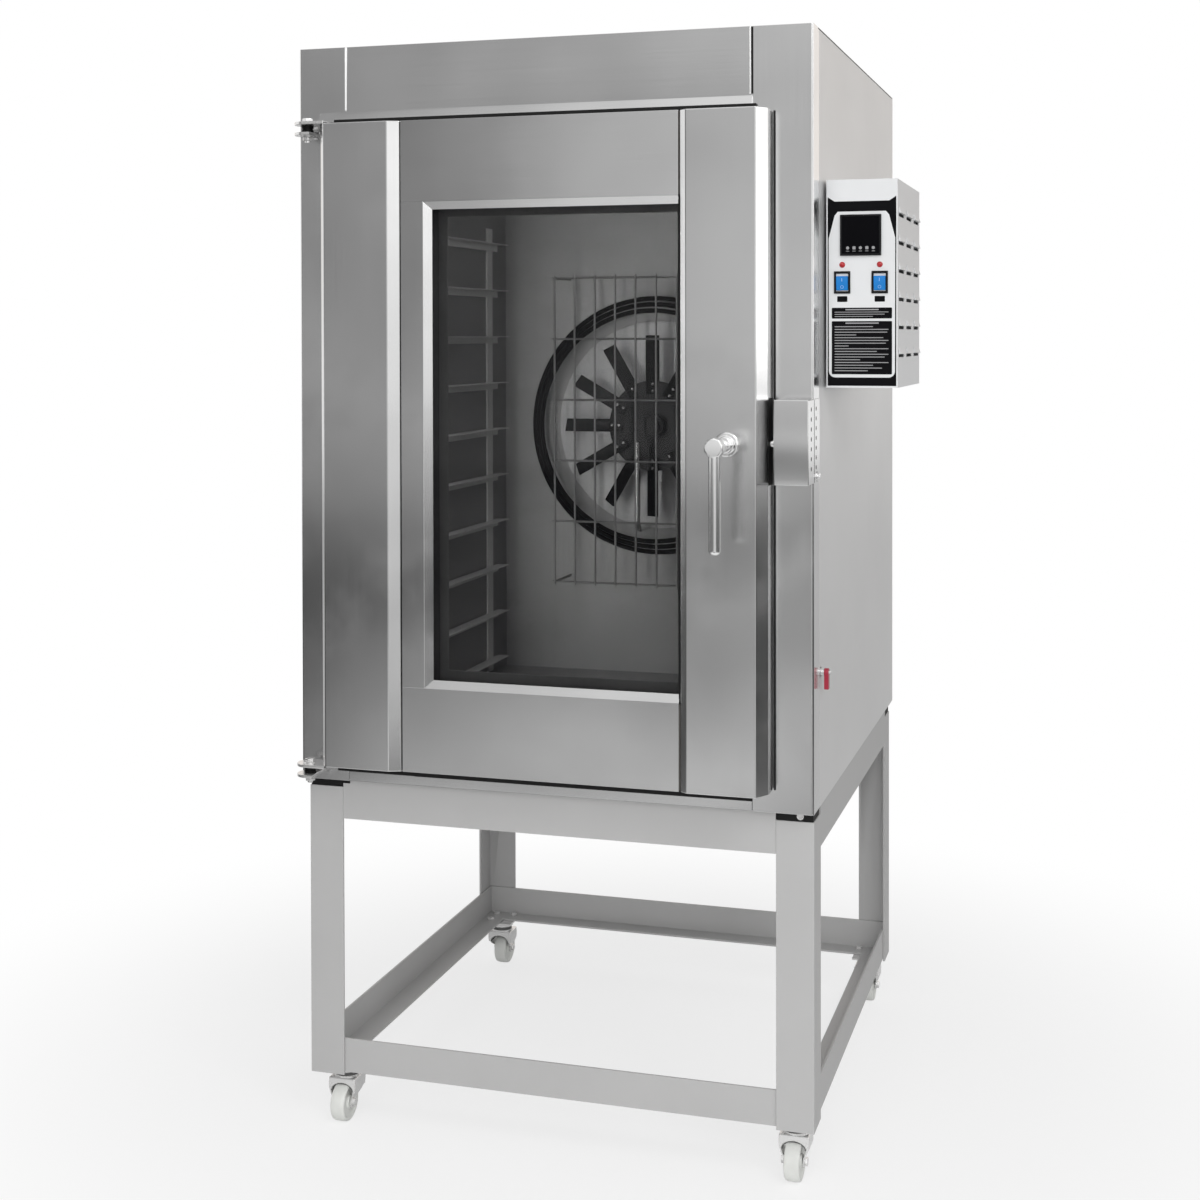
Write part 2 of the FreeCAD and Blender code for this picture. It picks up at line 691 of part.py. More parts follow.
def chamber_back_wall():
    wide = CHAMBER_X + SHEET
    tall = (CHAMBER_Z0 - SHEET, CHAMBER_Z1 + SHEET)
    wall = box((-wide, wide), (CHAMBER_BACK, CHAMBER_BACK + SHEET), tall)
    return [drilled(wall, rear_holes(0))]


def insulation():
    """Glass-wool slabs between the chamber and the cabinet skin."""
    g = WOOL_GAP
    outer = HALF_W - SHEET - g
    liner = CHAMBER_X + SHEET + g
    z0, z1 = CHAMBER_Z0 - SHEET - g, CHAMBER_Z1 + SHEET + g
    y0, y1 = 2 * SHEET + g, BULKHEAD_Y - g
    side_y = (y0, CHAMBER_BACK + SHEET)
    left = box((-outer, -liner), side_y, (z0, z1))
    right = mirrored_x(left)
    pocket = rod((HALF_W - VALVE_POCKET, VALVE_Y, VALVE_Z), (HALF_W, VALVE_Y, VALVE_Z), VALVE_POCKET_R)
    over = box((-outer, outer), (y0, y1), (z1 + g, CAB_TOP - SHEET - g))
    under = box((-outer, outer), (y0, y1), (CAB_Z + SHEET + g, z0 - g))
    back = box((-outer, outer), (CHAMBER_BACK + SHEET + g, y1), (z0, z1))
    return [left, right.cut(pocket), over, under, drilled(back, rear_holes(1.0))]


def rear_bulkhead():
    """Sheet that holds the wool in and carries the motor."""
    inner = HALF_W - SHEET
    z = (CAB_Z + SHEET, CAB_TOP - SHEET)
    sheet = box((-inner, inner), (BULKHEAD_Y, BULKHEAD_Y + BULKHEAD_T), z)
    return [drilled(sheet, rear_holes(0))]


def tray_racks():
    """Two posts and a ladder of angle runners on each side wall."""
    solids = []
    wall = -CHAMBER_X
    first = CHAMBER_Z0 + RACK_FIRST
    last = first + RACK_PITCH * (RACK_LEVELS - 1)
    post_z = (first - POST_ENDS[0], last + POST_ENDS[1])
    for y in POST_Y:
        solids.append(box((wall, wall + POST_T), (y, y + POST_W), post_z))
    x0 = wall + POST_T
    for level in range(RACK_LEVELS):
        z = first + RACK_PITCH * level
        web = box((x0, x0 + SHEET), RUNNER_Y, (z - RUNNER_DROP, z))
        shelf = box((x0 + SHEET, x0 + RUNNER_W), RUNNER_Y, (z - SHEET, z))
        solids.append(fused([web, shelf]))
    return solids + [mirrored_x(one) for one in solids]


# Fan, heaters and services


def fan_motor():
    """Flange motor on the bulkhead with a blind bore for its shaft."""
    y = BULKHEAD_Y + BULKHEAD_T
    cap_y = y + MOTOR_L - MOTOR_CAP
    flange = rod((0, y, FAN_Z), (0, y + MOTOR_FLANGE_T, FAN_Z), MOTOR_FLANGE_R)
    body = rod((0, y + MOTOR_FLANGE_T, FAN_Z), (0, cap_y, FAN_Z), MOTOR_R)
    cap = rod((0, cap_y, FAN_Z), (0, y + MOTOR_L, FAN_Z), MOTOR_R - MOTOR_CAP)
    terminal_z = (FAN_Z + MOTOR_R - MOTOR_CAP, FAN_Z + MOTOR_R + TERMINAL_H)
    terminal = box((-TERMINAL_W / 2, TERMINAL_W / 2), (y + TERMINAL_Y[0], y + TERMINAL_Y[1]), terminal_z)
    bore = rod((0, y - 1, FAN_Z), (0, y + MOTOR_BORE, FAN_Z), SHAFT_R + RUN_FIT)
    return [fused([flange, body, cap, terminal]).cut(bore)]


def motor_shaft():
    y_end = BULKHEAD_Y + BULKHEAD_T + MOTOR_BORE - SHAFT_BACK_GAP
    return [rod((0, FAN_Y - SHAFT_FRONT, FAN_Z), (0, y_end, FAN_Z), SHAFT_R)]


def fan_wheel():
    """Riveted paddle fan: hub, disc, pitched flat blades and a nose cap."""
    hub_front, hub_back = FAN_Y + FAN_HUB_Y[0], FAN_Y + FAN_HUB_Y[1]
    hub = rod((0, hub_front, FAN_Z), (0, hub_back, FAN_Z), HUB_R)
    nose = rod((0, hub_front - FAN_NOSE, FAN_Z), (0, hub_front, FAN_Z), HUB_R - FAN_NOSE_STEP)
    disc = rod((0, FAN_Y + FAN_DISC_Y[0], FAN_Z), (0, FAN_Y + FAN_DISC_Y[1], FAN_Z), FAN_DISC_R)
    blade = box((-BLADE_W / 2, BLADE_W / 2), (-BLADE_T / 2, BLADE_T / 2), (FAN_ROOT_R, FAN_TIP_R))
    blade.rotate(Vector(0, 0, 0), Z_AXIS, BLADE_PITCH)
    blade.translate(Vector(0, FAN_Y, FAN_Z))
    blades = []
    for index in range(FAN_BLADES):
        one = blade.copy()
        one.rotate(Vector(0, FAN_Y, FAN_Z), Y_AXIS, 360.0 / FAN_BLADES * index)
        blades.append(one)
    wheel = fused([hub, nose, disc] + blades)
    bore_y = FAN_Y - SHAFT_FRONT - RUN_FIT
    return [wheel.cut(rod((0, bore_y, FAN_Z), (0, hub_back + 1, FAN_Z), SHAFT_R + RUN_FIT))]


def ring_point(radius, degrees, y):
    turn = math.radians(degrees)
    return Vector(radius * math.cos(turn), y, FAN_Z + radius * math.sin(turn))


def ring_tangent(degrees):
    turn = math.radians(degrees)
    return Vector(-math.sin(turn), 0, math.cos(turn))


def heater_leg_spots(radius):
    """Where the two straight ends of a heater ring go back through the wall."""
    spots = []
    for degrees, way in zip(HEATER_ENDS, (-1, 1)):
        p = ring_point(radius, degrees, 0) + ring_tangent(degrees) * (way * HEATER_BEND)
        spots.append((p.x, p.z))
    return spots


def heater_ring(radius, y):
    """One tubular loop with both ends bent back through the chamber wall."""
    back = Y_AXIS * HEATER_BEND
    y_end = BULKHEAD_Y + BULKHEAD_T + HEATER_TAIL
    points = []
    for degrees, way in zip(HEATER_ENDS, (-1, 1)):
        p = ring_point(radius, degrees, y)
        t = ring_tangent(degrees) * way
        mid = p + back + (t * HEATER_BEND - back) * math.sqrt(0.5)
        leg = p + back + t * HEATER_BEND
        points.append((p, mid, leg, Vector(leg.x, y_end, leg.z)))
    (p0, m0, l0, e0), (p1, m1, l1, e1) = points
    top = ring_point(radius, sum(HEATER_ENDS) / 2, y)
    curves = (Part.LineSegment(e0, l0), Part.Arc(l0, m0, p0), Part.Arc(p0, top, p1), Part.Arc(p1, m1, l1),
              Part.LineSegment(l1, e1))
    edges = [curve.toShape() for curve in curves]
    section = Part.Wire(Part.makeCircle(HEATER_TUBE_R, e0, Y_AXIS))
    return Part.Wire(edges).makePipeShell([section], True, False)


def heater_rings():
    depths = [CHAMBER_BACK - gap for gap in HEATER_GAPS]
    return [heater_ring(radius, y) for radius, y in zip(HEATER_R, depths)]


def fan_guard():
    """Welded wire grid in front of the fan, and the four legs that hold it off the back wall."""
    half_x = GUARD_COL_PITCH * (GUARD_COLS - 1) / 2
    half_z = GUARD_ROW_PITCH * (GUARD_ROWS - 1) / 2
    end_x, end_z = half_x + GUARD_TAIL, half_z + GUARD_TAIL
    wires = []
    for col in range(GUARD_COLS):
        x = -half_x + GUARD_COL_PITCH * col
        wires.append(rod((x, GUARD_Y, GUARD_Z - end_z), (x, GUARD_Y, GUARD_Z + end_z), GUARD_WIRE_R))
    y = GUARD_Y + 1.5 * GUARD_WIRE_R
    for row in range(GUARD_ROWS):
        z = GUARD_Z - half_z + GUARD_ROW_PITCH * row
        wires.append(rod((-end_x, y, z), (end_x, y, z), GUARD_WIRE_R))
    legs = []
    for x in (-half_x, half_x):
        for z in (GUARD_Z - half_z, GUARD_Z + half_z):
            legs.append(rod((x, y + GUARD_WIRE_R, z), (x, CHAMBER_BACK, z), GUARD_LEG_R))
    return [fused(wires)] + legs


def temperature_probe():
    base_y = CHAMBER_BACK - PROBE_FITTING[0]
    fitting = hexagon((PROBE_X, base_y, PROBE_Z), *PROBE_FITTING, Y_AXIS)
    stem = rod((PROBE_X, CHAMBER_BACK - PROBE_REACH, PROBE_Z), (PROBE_X, base_y, PROBE_Z), PROBE_R)
    return [fused([fitting, stem])]


def steam_line(radius):
    """Pipe body of one radius along the steam line: in from the back, then up in front of the fan hub."""
    z = FAN_Z - STEAM_DROP
    z_top = FAN_Z - HUB_R - STEAM_TOP_GAP
    a = Vector(STEAM_X, CAB_D + TAIL_OUT, z)
    b = Vector(STEAM_X, STEAM_Y + STEAM_BEND, z)
    centre = Vector(STEAM_X, STEAM_Y + STEAM_BEND, z + STEAM_BEND)
    mid = centre + (Y_AXIS + Z_AXIS) * (-STEAM_BEND * math.sqrt(0.5))
    c = Vector(STEAM_X, STEAM_Y, z + STEAM_BEND)
    d = Vector(STEAM_X, STEAM_Y, z_top)
    curves = (Part.LineSegment(a, b), Part.Arc(b, mid, c), Part.LineSegment(c, d))
    edges = [curve.toShape() for curve in curves]
    section = Part.Wire(Part.makeCircle(radius, a, Y_AXIS))
    return Part.Wire(edges).makePipeShell([section], True, False)


def steam_pipe():
    """Steam pipe with a nut on the back panel and a thicker hose tail behind it."""
    z = FAN_Z - STEAM_DROP
    nut = hexagon((STEAM_X, CAB_D, z), *STEAM_NUT, Y_AXIS)
    tail = rod((STEAM_X, CAB_D - TAIL_LAP, z), (STEAM_X, CAB_D + TAIL_OUT, z), TAIL_R)
    body = fused([steam_line(STEAM_R), nut, tail])
    return [body.cut(steam_line(STEAM_R - STEAM_WALL))]


def exhaust_flue():
    """Round flue from the chamber to a spigot with a collar on the back panel."""
    y = (CHAMBER_BACK - FLUE_IN, CAB_D + FLUE_OUT)
    pipe = pipe_ring((FLUE_X, y[0], FLUE_Z), (FLUE_X, y[1], FLUE_Z), FLUE_R, FLUE_R - FLUE_WALL)
    collar_y = CAB_D + FLUE_COLLAR_T
    inner = FLUE_R - FLUE_WALL / 3
    collar = pipe_ring((FLUE_X, CAB_D, FLUE_Z), (FLUE_X, collar_y, FLUE_Z), FLUE_COLLAR_R, inner)
    return [fused([pipe, collar])]


def cable_gland():
    """Gland body, dome and lock nut with a clear cable bore."""
    y = CAB_D
    body = hexagon((GLAND_X, y, GLAND_Z), *GLAND_HEX, Y_AXIS)
    dome = rod((GLAND_X, y + GLAND_HEX[0], GLAND_Z), (GLAND_X, y + GLAND_OUT, GLAND_Z), GLAND_DOME_R)
    rim = [e for e in dome.Edges if len(e.Vertexes) == 1 and e.CenterOfMass.y > y + GLAND_OUT - 1]
    dome = dome.makeFillet(GLAND_ROUND, rim)
    thread = rod((GLAND_X, y - GLAND_IN, GLAND_Z), (GLAND_X, y, GLAND_Z), GLAND_THREAD_R)
    nut = hexagon((GLAND_X, y - SHEET - GLAND_NUT_H, GLAND_Z), GLAND_NUT_H, GLAND_HEX[1], Y_AXIS)
    gland = fused([body, dome, thread, nut])
    ends = (y - GLAND_IN - 1, y + GLAND_OUT + 1)
    return [gland.cut(rod((GLAND_X, ends[0], GLAND_Z), (GLAND_X, ends[1], GLAND_Z), GLAND_BORE_R))]


# Door


def pilaster(outline, holes):
    """Folded upright, capped at both ends and open at the back."""
    skin = prism([(x, y, DOOR_Z[0]) for x, y in fold(outline, SHEET)], Z_AXIS * (DOOR_Z[1] - DOOR_Z[0]))
    caps = []
    for z in (DOOR_Z[0], DOOR_Z[1] - SHEET):
        caps.append(prism([(x, y, z) for x, y in outline], Z_AXIS * SHEET))
    return drilled(fused([skin] + caps), holes)


def door_left_pilaster():
    x0 = DOOR_X[0]
    x1 = x0 + PILASTER_W[0]
    c = LEFT_CHAMFER
    outline = [(x0, PANEL_FRONT), (x0, DOOR_FRONT + c), (x0 + c, DOOR_FRONT), (x1, DOOR_FRONT),
               (PANEL_X[0], RECESS_Y), (PANEL_X[0], PANEL_FRONT)]
    return [pilaster(outline[::-1], [])]


def door_right_pilaster():
    """Right upright with the bevelled edge, spindle hole and bolt hole."""
    x1 = DOOR_X[1]
    bevel_x, bevel_y = RIGHT_BEVEL
    c = RIGHT_CHAMFER
    outline = [(PANEL_X[1], PANEL_FRONT), (PANEL_X[1], DOOR_FRONT + c), (PANEL_X[1] + c, DOOR_FRONT),
               (x1 - bevel_x, DOOR_FRONT), (x1, DOOR_FRONT + bevel_y), (x1, PANEL_FRONT)]
    deep = DOOR_FRONT + 2 * SPINDLE_CLEAR + SHEET
    spindle = rod((HANDLE_X, DOOR_FRONT - 1, HANDLE_Z), (HANDLE_X, deep, HANDLE_Z), LEVER_R + SPINDLE_CLEAR)
    bolt = rod((x1 - 6, BOLT_Y, HANDLE_Z), (x1 + 6, BOLT_Y, HANDLE_Z), BOLT_R + RUN_FIT)
    return [pilaster(outline[::-1], [spindle, bolt])]


def bevel_edges():
    """Outer and inner corners of the window bevel: left x, low z and high z of each."""
    inner_x = WINDOW_X0 + BEVEL_W
    inner_z = (WINDOW_Z[0] + BEVEL_W, WINDOW_Z[1] - BEVEL_W)
    return RECESS_Y, RECESS_Y + BEVEL_D, inner_x, inner_z


def door_rails():
    """Top and bottom rails of the recessed panel, each with its window bevel and edge return."""
    y0, y1, inner_x, inner_z = bevel_edges()
    rails = []
    for edge, inner, outer in ((WINDOW_Z[1], inner_z[1], DOOR_Z[1]), (WINDOW_Z[0], inner_z[0], DOOR_Z[0])):
        face = box(PANEL_X, (y0, y0 + SHEET), sorted((edge, outer)))
        slope = prism([(WINDOW_X0, y0, edge), (PANEL_X[1], y0, edge), (PANEL_X[1], y1, inner),
                       (inner_x, y1, inner)], Y_AXIS * SHEET)
        skin = SHEET if outer < edge else -SHEET
        cap = box(PANEL_X, (y0, PANEL_FRONT), sorted((outer, outer + skin)))
        rails.append(fused([face, slope, cap]))
    return rails


def door_window_stile():
    y0, y1, inner_x, inner_z = bevel_edges()
    face = box((PANEL_X[0], WINDOW_X0), (y0, y0 + SHEET), WINDOW_Z)
    slope = prism([(WINDOW_X0, y0, WINDOW_Z[0]), (WINDOW_X0, y0, WINDOW_Z[1]), (inner_x, y1, inner_z[1]),
                   (inner_x, y1, inner_z[0])], Y_AXIS * SHEET)
    return [fused([face, slope])]


def glass_span():
    """Pane size, a little under the window bevel all round."""
    left, right, ends = GLASS_UNDER
    x = (WINDOW_X0 + left, PANEL_X[1] - right)
    z = (WINDOW_Z[0] + ends, WINDOW_Z[1] - ends)
    return x, z


def door_glass():
    """Outer pane behind the bevel and inner pane on the inner panel."""
    x, z = glass_span()
    y = RECESS_Y + BEVEL_D + SHEET + GLASS_PLAY
    return [box(x, (y, y + GLASS_T), z), box(x, (PANEL_FRONT - INNER_GLASS_T, PANEL_FRONT), z)]


def door_inner_panel():
    """Inner sheet of the door with the window cut-out."""
    x, z = glass_span()
    deep, shallow = INNER_LIP
    sheet = box((DOOR_X[0] + SHEET, DOOR_X[1] - SHEET), (PANEL_FRONT, DOOR_BACK),
                (DOOR_Z[0] + SHEET, DOOR_Z[1] - SHEET))
    cut_y = (PANEL_FRONT - 1, DOOR_BACK + 1)
    return [sheet.cut(box((x[0] + deep, x[1] - shallow), cut_y, (z[0] + deep, z[1] - deep)))]


def door_insulation():
    """Wool blocks in the pilasters and round the window, clear of the latch."""
    x, z = glass_span()
    g = DOOR_WOOL_GAP
    y = (RECESS_Y + SHEET + WOOL_GAP, PANEL_FRONT - WOOL_GAP)
    mid = (PANEL_X[0] + g / 2, PANEL_X[1] - g / 2)
    low, high = DOOR_Z[0] + g, DOOR_Z[1] - g
    left = (DOOR_X[0] + g, PANEL_X[0] - g)
    right = (PANEL_X[1] + g, DOOR_X[1] - RIGHT_BEVEL[0] - 1.5 * g)
    blocks = [box(left, y, (low, high))]
    blocks += [box(right, y, (low, HANDLE_Z - LATCH_ROOM)), box(right, y, (HANDLE_Z + LATCH_ROOM, high))]
    blocks += [box(mid, y, (low, z[0] - WOOL_GAP)), box(mid, y, (z[1] + WOOL_GAP, high))]
    skin_y = (RECESS_Y + BEVEL_D + SHEET, y[1])
    blocks += [box((mid[0], x[0] - WOOL_GAP), skin_y, z), box((x[1] + WOOL_GAP, mid[1]), skin_y, z)]
    room = box((WINDOW_X0 - 1, PANEL_X[1] + 1), (y[0] - 1, skin_y[0]), (WINDOW_Z[0] - g, WINDOW_Z[1] + g))
    return [one.cut(room) for one in blocks]


def door_gasket():
    """Seal round the chamber mouth, on the mouth frame."""
    y = (DOOR_BACK + GASKET_GAP, SHEET)
    inner = (CHAMBER_X + GASKET_IN, CHAMBER_Z0 - GASKET_IN, CHAMBER_Z1 + GASKET_IN)
    outer = (inner[0] + GASKET_W, inner[1] - GASKET_W, inner[2] + GASKET_W)
    ring = box((-outer[0], outer[0]), y, outer[1:])
    return [ring.cut(box((-inner[0], inner[0]), (y[0] - 1, y[1] + 1), inner[1:]))]


# Hinges


def hinge_levels():
    """Underside of each door leaf: on top of the door, and under it."""
    return DOOR_Z[1], DOOR_Z[0] - LEAF_T


def bracket_top(leaf_z):
    return leaf_z - BUSH_H


def hinge_plate(z, x_end, y_span, hole_r):
    """Horizontal plate with a round nose about the pivot."""
    nose = rod((PIVOT_X, PIVOT_Y, z), (PIVOT_X, PIVOT_Y, z + LEAF_T), LEAF_R)
    tongue = box((PIVOT_X, x_end), y_span, (z, z + LEAF_T))
    hole = rod((PIVOT_X, PIVOT_Y, z - 1), (PIVOT_X, PIVOT_Y, z + LEAF_T + 1), hole_r)
    return fused([nose, tongue]).cut(hole)


def hinge_leaves():
    """Door leaves, on the end caps of the left pilaster."""
    y = (PIVOT_Y - LEAF_R + LEAF_TRIM, PIVOT_Y + LEAF_R - LEAF_TRIM)
    return [hinge_plate(z, PIVOT_X + LEAF_LEN, y, PIN_R + RUN_FIT) for z in hinge_levels()]


def hinge_brackets():
    """Cabinet brackets: a bored shelf under each leaf and a flange on the stile."""
    brackets = []
    x = (PIVOT_X - LEAF_R, PIVOT_X + LEAF_R)
    for leaf_z in hinge_levels():
        z = bracket_top(leaf_z) - LEAF_T
        nose = rod((PIVOT_X, PIVOT_Y, z), (PIVOT_X, PIVOT_Y, z + LEAF_T), LEAF_R)
        shelf = box(x, (PIVOT_Y, 0), (z, z + LEAF_T))
        upper = leaf_z > CAB_Z + CAB_H / 2
        span = (z - BRACKET_DOWN, z + LEAF_T) if upper else (z, z + BRACKET_UP)
        flange = box(x, (-BRACKET_T, 0), span)
        hole = rod((PIVOT_X, PIVOT_Y, z - 1), (PIVOT_X, PIVOT_Y, z + LEAF_T + 1), PIN_R + RUN_FIT)
        brackets.append(fused([nose, shelf, flange]).cut(hole))
    return brackets


def hinge_bolts():
    """Pivot bolts, each with a bush between the plates and a nut below."""
    solids = []
    at = (PIVOT_X, PIVOT_Y)
    for leaf_z in hinge_levels():
        top = leaf_z + LEAF_T
        shelf = bracket_top(leaf_z)
        foot = shelf - LEAF_T - NUT_H - HINGE_PLAY
        head = hexagon((*at, top), *PIVOT_HEAD, Z_AXIS)
        solids.append(fused([head, rod((*at, foot), (*at, top), PIN_R)]))
        solids.append(pipe_ring((*at, shelf + HINGE_PLAY), (*at, leaf_z), BUSH_R, PIN_R + RUN_FIT))
        nut = hexagon((*at, foot), NUT_H, PIVOT_HEAD[1], Z_AXIS)
        solids.append(nut.cut(rod((*at, foot - 1), (*at, foot + NUT_H + 1), PIN_R + RUN_FIT)))
    return solids


# Handle and latch


def latch_case():
    """Guide block for the bolt inside the right pilaster."""
    x = (DOOR_X[1] - LATCH_L, DOOR_X[1] - SHEET)
    z = (HANDLE_Z - LATCH_HALF_H, HANDLE_Z + LATCH_HALF_H)
    case = box(x, (DOOR_FRONT + RIGHT_BEVEL[1] + 1, PANEL_FRONT), z)
    bolt = rod((x[0] - 1, BOLT_Y, HANDLE_Z), (x[1] + 1, BOLT_Y, HANDLE_Z), BOLT_R + RUN_FIT)
    floor = BOLT_Y - BOLT_R - 1
    pocket = rod((HANDLE_X, DOOR_FRONT, HANDLE_Z), (HANDLE_X, floor, HANDLE_Z), LEVER_R + HOLE_FIT)
    return [case.cut(bolt).cut(pocket)]


def latch_bolt():
    """Round bolt with a domed end, stopping just short of the strike box."""
    tip = STRIKE_X - BOLT_GAP
    bolt = rod((DOOR_X[1] - BOLT_TAIL, BOLT_Y, HANDLE_Z), (tip, BOLT_Y, HANDLE_Z), BOLT_R)
    rim = [e for e in bolt.Edges if len(e.Vertexes) == 1 and e.CenterOfMass.x > tip - 1]
    return [bolt.makeFillet(BOLT_ROUND, rim)]


def handle_rose():
    y = DOOR_FRONT
    plate = rod((HANDLE_X, y, HANDLE_Z), (HANDLE_X, y - ROSE_T, HANDLE_Z), ROSE_R)
    boss = rod((HANDLE_X, y - ROSE_T, HANDLE_Z), (HANDLE_X, y - ROSE_BOSS, HANDLE_Z), ROSE_BOSS_R)
    bore = rod((HANDLE_X, y + 1, HANDLE_Z), (HANDLE_X, y - ROSE_BOSS - 1, HANDLE_Z), LEVER_R + RUN_FIT)
    return [fused([plate, boss]).cut(bore)]


def lever_handle():
    """Spindle out to a disc hub, with a round lever hanging from it."""
    y = DOOR_FRONT - HANDLE_OUT
    spindle = rod((HANDLE_X, y, HANDLE_Z), (HANDLE_X, BOLT_Y - BOLT_R - 2, HANDLE_Z), LEVER_R)
    half = HUB_DISC_T / 2
    hub = rod((HANDLE_X, y - half, HANDLE_Z), (HANDLE_X, y + half, HANDLE_Z), HUB_DISC_R)
    low = HANDLE_Z - LEVER_L
    lever = rod((HANDLE_X, y, low), (HANDLE_X, y, HANDLE_Z), LEVER_R)
    tip = [e for e in lever.Edges if len(e.Vertexes) == 1 and e.CenterOfMass.z < low + 1]
    return [fused([spindle, hub, lever.makeFillet(0.8 * LEVER_R, tip)])]


def strike_box():
    """Folded keeper box on the right stile, with a perforated flange round the corner."""
    x = (STRIKE_X, HALF_W + SHEET)
    z = STRIKE_Z
    front = box(x, (STRIKE_FRONT, STRIKE_FRONT + SHEET), z)
    left = box((x[0], x[0] + SHEET), (STRIKE_FRONT, 0), z)
    right = box((HALF_W, x[1]), (STRIKE_FRONT, STRIKE_WRAP), z)
    top = box((x[0], HALF_W), (STRIKE_FRONT, 0), (z[1] - SHEET, z[1]))
    bottom = box((x[0], HALF_W), (STRIKE_FRONT, 0), (z[0], z[0] + SHEET))
    holes = []
    for y in PERF_Y:
        for row in range(PERF_ROWS):
            hole_z = z[0] + PERF_FIRST + PERF_PITCH * row
            holes.append(rod((x[1] - 5, y, hole_z), (x[1] + 5, y, hole_z), PERF_R))
    back, up = STRIKE_BOLT_IN
    bolt = hexagon((x[1], STRIKE_WRAP - back, z[0] + up), *STRIKE_BOLT, X_AXIS)
    return [drilled(fused([front, left, right, top, bottom]), holes), bolt]


# Controls


def control_box():
    """Sheet box on feet, open at the front, with louvres pressed out of its right side."""
    x = (CTRL_X, CTRL_X + CTRL_W)
    y = (CTRL_Y + PLATE_T, CTRL_Y + CTRL_D)
    shell = box(x, y, CTRL_Z)
    inner_z = (CTRL_Z[0] + SHEET, CTRL_Z[1] - SHEET)
    room = box((x[0] + SHEET, x[1] - SHEET), (y[0] - 1, y[1] - SHEET), inner_z)
    shell = shell.cut(room)
    feet = []
    for foot_y in (y[0] + CTRL_FOOT_IN, y[1] - CTRL_FOOT_IN):
        for foot_z in (CTRL_Z[0] + CTRL_FOOT_IN, CTRL_Z[1] - CTRL_FOOT_IN):
            feet.append(rod((HALF_W, foot_y, foot_z), (x[0], foot_y, foot_z), CTRL_FOOT_R))
    hoods = []
    slots = []
    step = CTRL_D / LOUVRE_COLS
    low = (CTRL_Z[0] + CTRL_Z[1]) / 2 - LOUVRE_PITCH * (LOUVRE_ROWS - 1) / 2
    for row in range(LOUVRE_ROWS):
        z = low + LOUVRE_PITCH * row
        for col in range(LOUVRE_COLS):
            y0 = CTRL_Y + step * (col + 0.5) - LOUVRE_L / 2
            wedge = [(x[1], y0, z), (x[1] + LOUVRE_OUT, y0, z), (x[1], y0, z + LOUVRE_H)]
            hoods.append(prism(wedge, Y_AXIS * LOUVRE_L))
            slot_y = (y0 + LOUVRE_WALL, y0 + LOUVRE_L - LOUVRE_WALL)
            slots.append(box((x[1] - 2 * SHEET, x[1] + 1), slot_y, (z - LOUVRE_SLOT, z)))
    return [drilled(fused([shell] + feet + hoods), slots)]


def control_plate():
    """Flat front plate with cut-outs for the controller, switches and lamps."""
    x = (CTRL_X, CTRL_X + CTRL_W)
    plate = box(x, (CTRL_Y, CTRL_Y + PLATE_T), CTRL_Z)
    cut_y = (CTRL_Y - 1, CTRL_Y + PLATE_T + 1)
    half = DISPLAY_SIZE / 2 - DISPLAY_LAP + CUT_PLAY
    holes = [box((DISPLAY_X - half, DISPLAY_X + half), cut_y, (DISPLAY_Z - half, DISPLAY_Z + half))]
    for sx in SWITCH_X:
        wide, tall = SWITCH_BODY[0] / 2 + HOLE_FIT, SWITCH_BODY[1] / 2 + HOLE_FIT
        holes.append(box((sx - wide, sx + wide), cut_y, (SWITCH_Z - tall, SWITCH_Z + tall)))
        holes.append(rod((sx, cut_y[0], LAMP_Z), (sx, cut_y[1], LAMP_Z), LAMP_R + HOLE_FIT))
    return [drilled(plate, holes)]


def controller():
    """Square panel controller: bezel in front of the plate and case behind it."""
    half = DISPLAY_SIZE / 2
    bezel_y = (CTRL_Y - DISPLAY_OUT, CTRL_Y)
    bezel = box((DISPLAY_X - half, DISPLAY_X + half), bezel_y, (DISPLAY_Z - half, DISPLAY_Z + half))
    half -= DISPLAY_LAP
    case_y = (CTRL_Y, CTRL_Y + DISPLAY_DEEP)
    case = box((DISPLAY_X - half, DISPLAY_X + half), case_y, (DISPLAY_Z - half, DISPLAY_Z + half))
    return [fused([bezel, case])]


def switch_block(sx, size, y):
    return box((sx - size[0] / 2, sx + size[0] / 2), y, (SWITCH_Z - size[1] / 2, SWITCH_Z + size[1] / 2))


def switch_frames():
    """Switch bodies with a raised rim and an open well for the rocker."""
    frames = []
    for sx in SWITCH_X:
        rim_y = CTRL_Y - SWITCH_RIM
        rim = switch_block(sx, (SWITCH_W, SWITCH_H), (rim_y, CTRL_Y))
        body = switch_block(sx, SWITCH_BODY, (CTRL_Y, CTRL_Y + SWITCH_DEEP))
        well = switch_block(sx, SWITCH_WELL, (rim_y - 1, CTRL_Y + SWITCH_DEEP - SWITCH_FLOOR))
        frames.append(fused([rim, body]).cut(well))
    return frames


def rocker(sx):
    """Rocker paddle, resting with its lower half pressed."""
    pivot = Vector(sx, CTRL_Y + ROCKER_PIVOT, SWITCH_Z)
    edge, crown = ROCKER_FRONT
    foot_z, foot_y, heel_y = ROCKER_BACK
    outline = [(-ROCKER_HALF_H, -edge), (0, -crown), (ROCKER_HALF_H, -edge), (foot_z, foot_y), (0, heel_y),
               (-foot_z, foot_y)]
    left = sx - ROCKER_W / 2
    paddle = prism([(left, pivot.y + y, pivot.z + z) for z, y in outline], X_AXIS * ROCKER_W)
    paddle.rotate(pivot, X_AXIS, ROCKER_TILT)
    return [paddle]


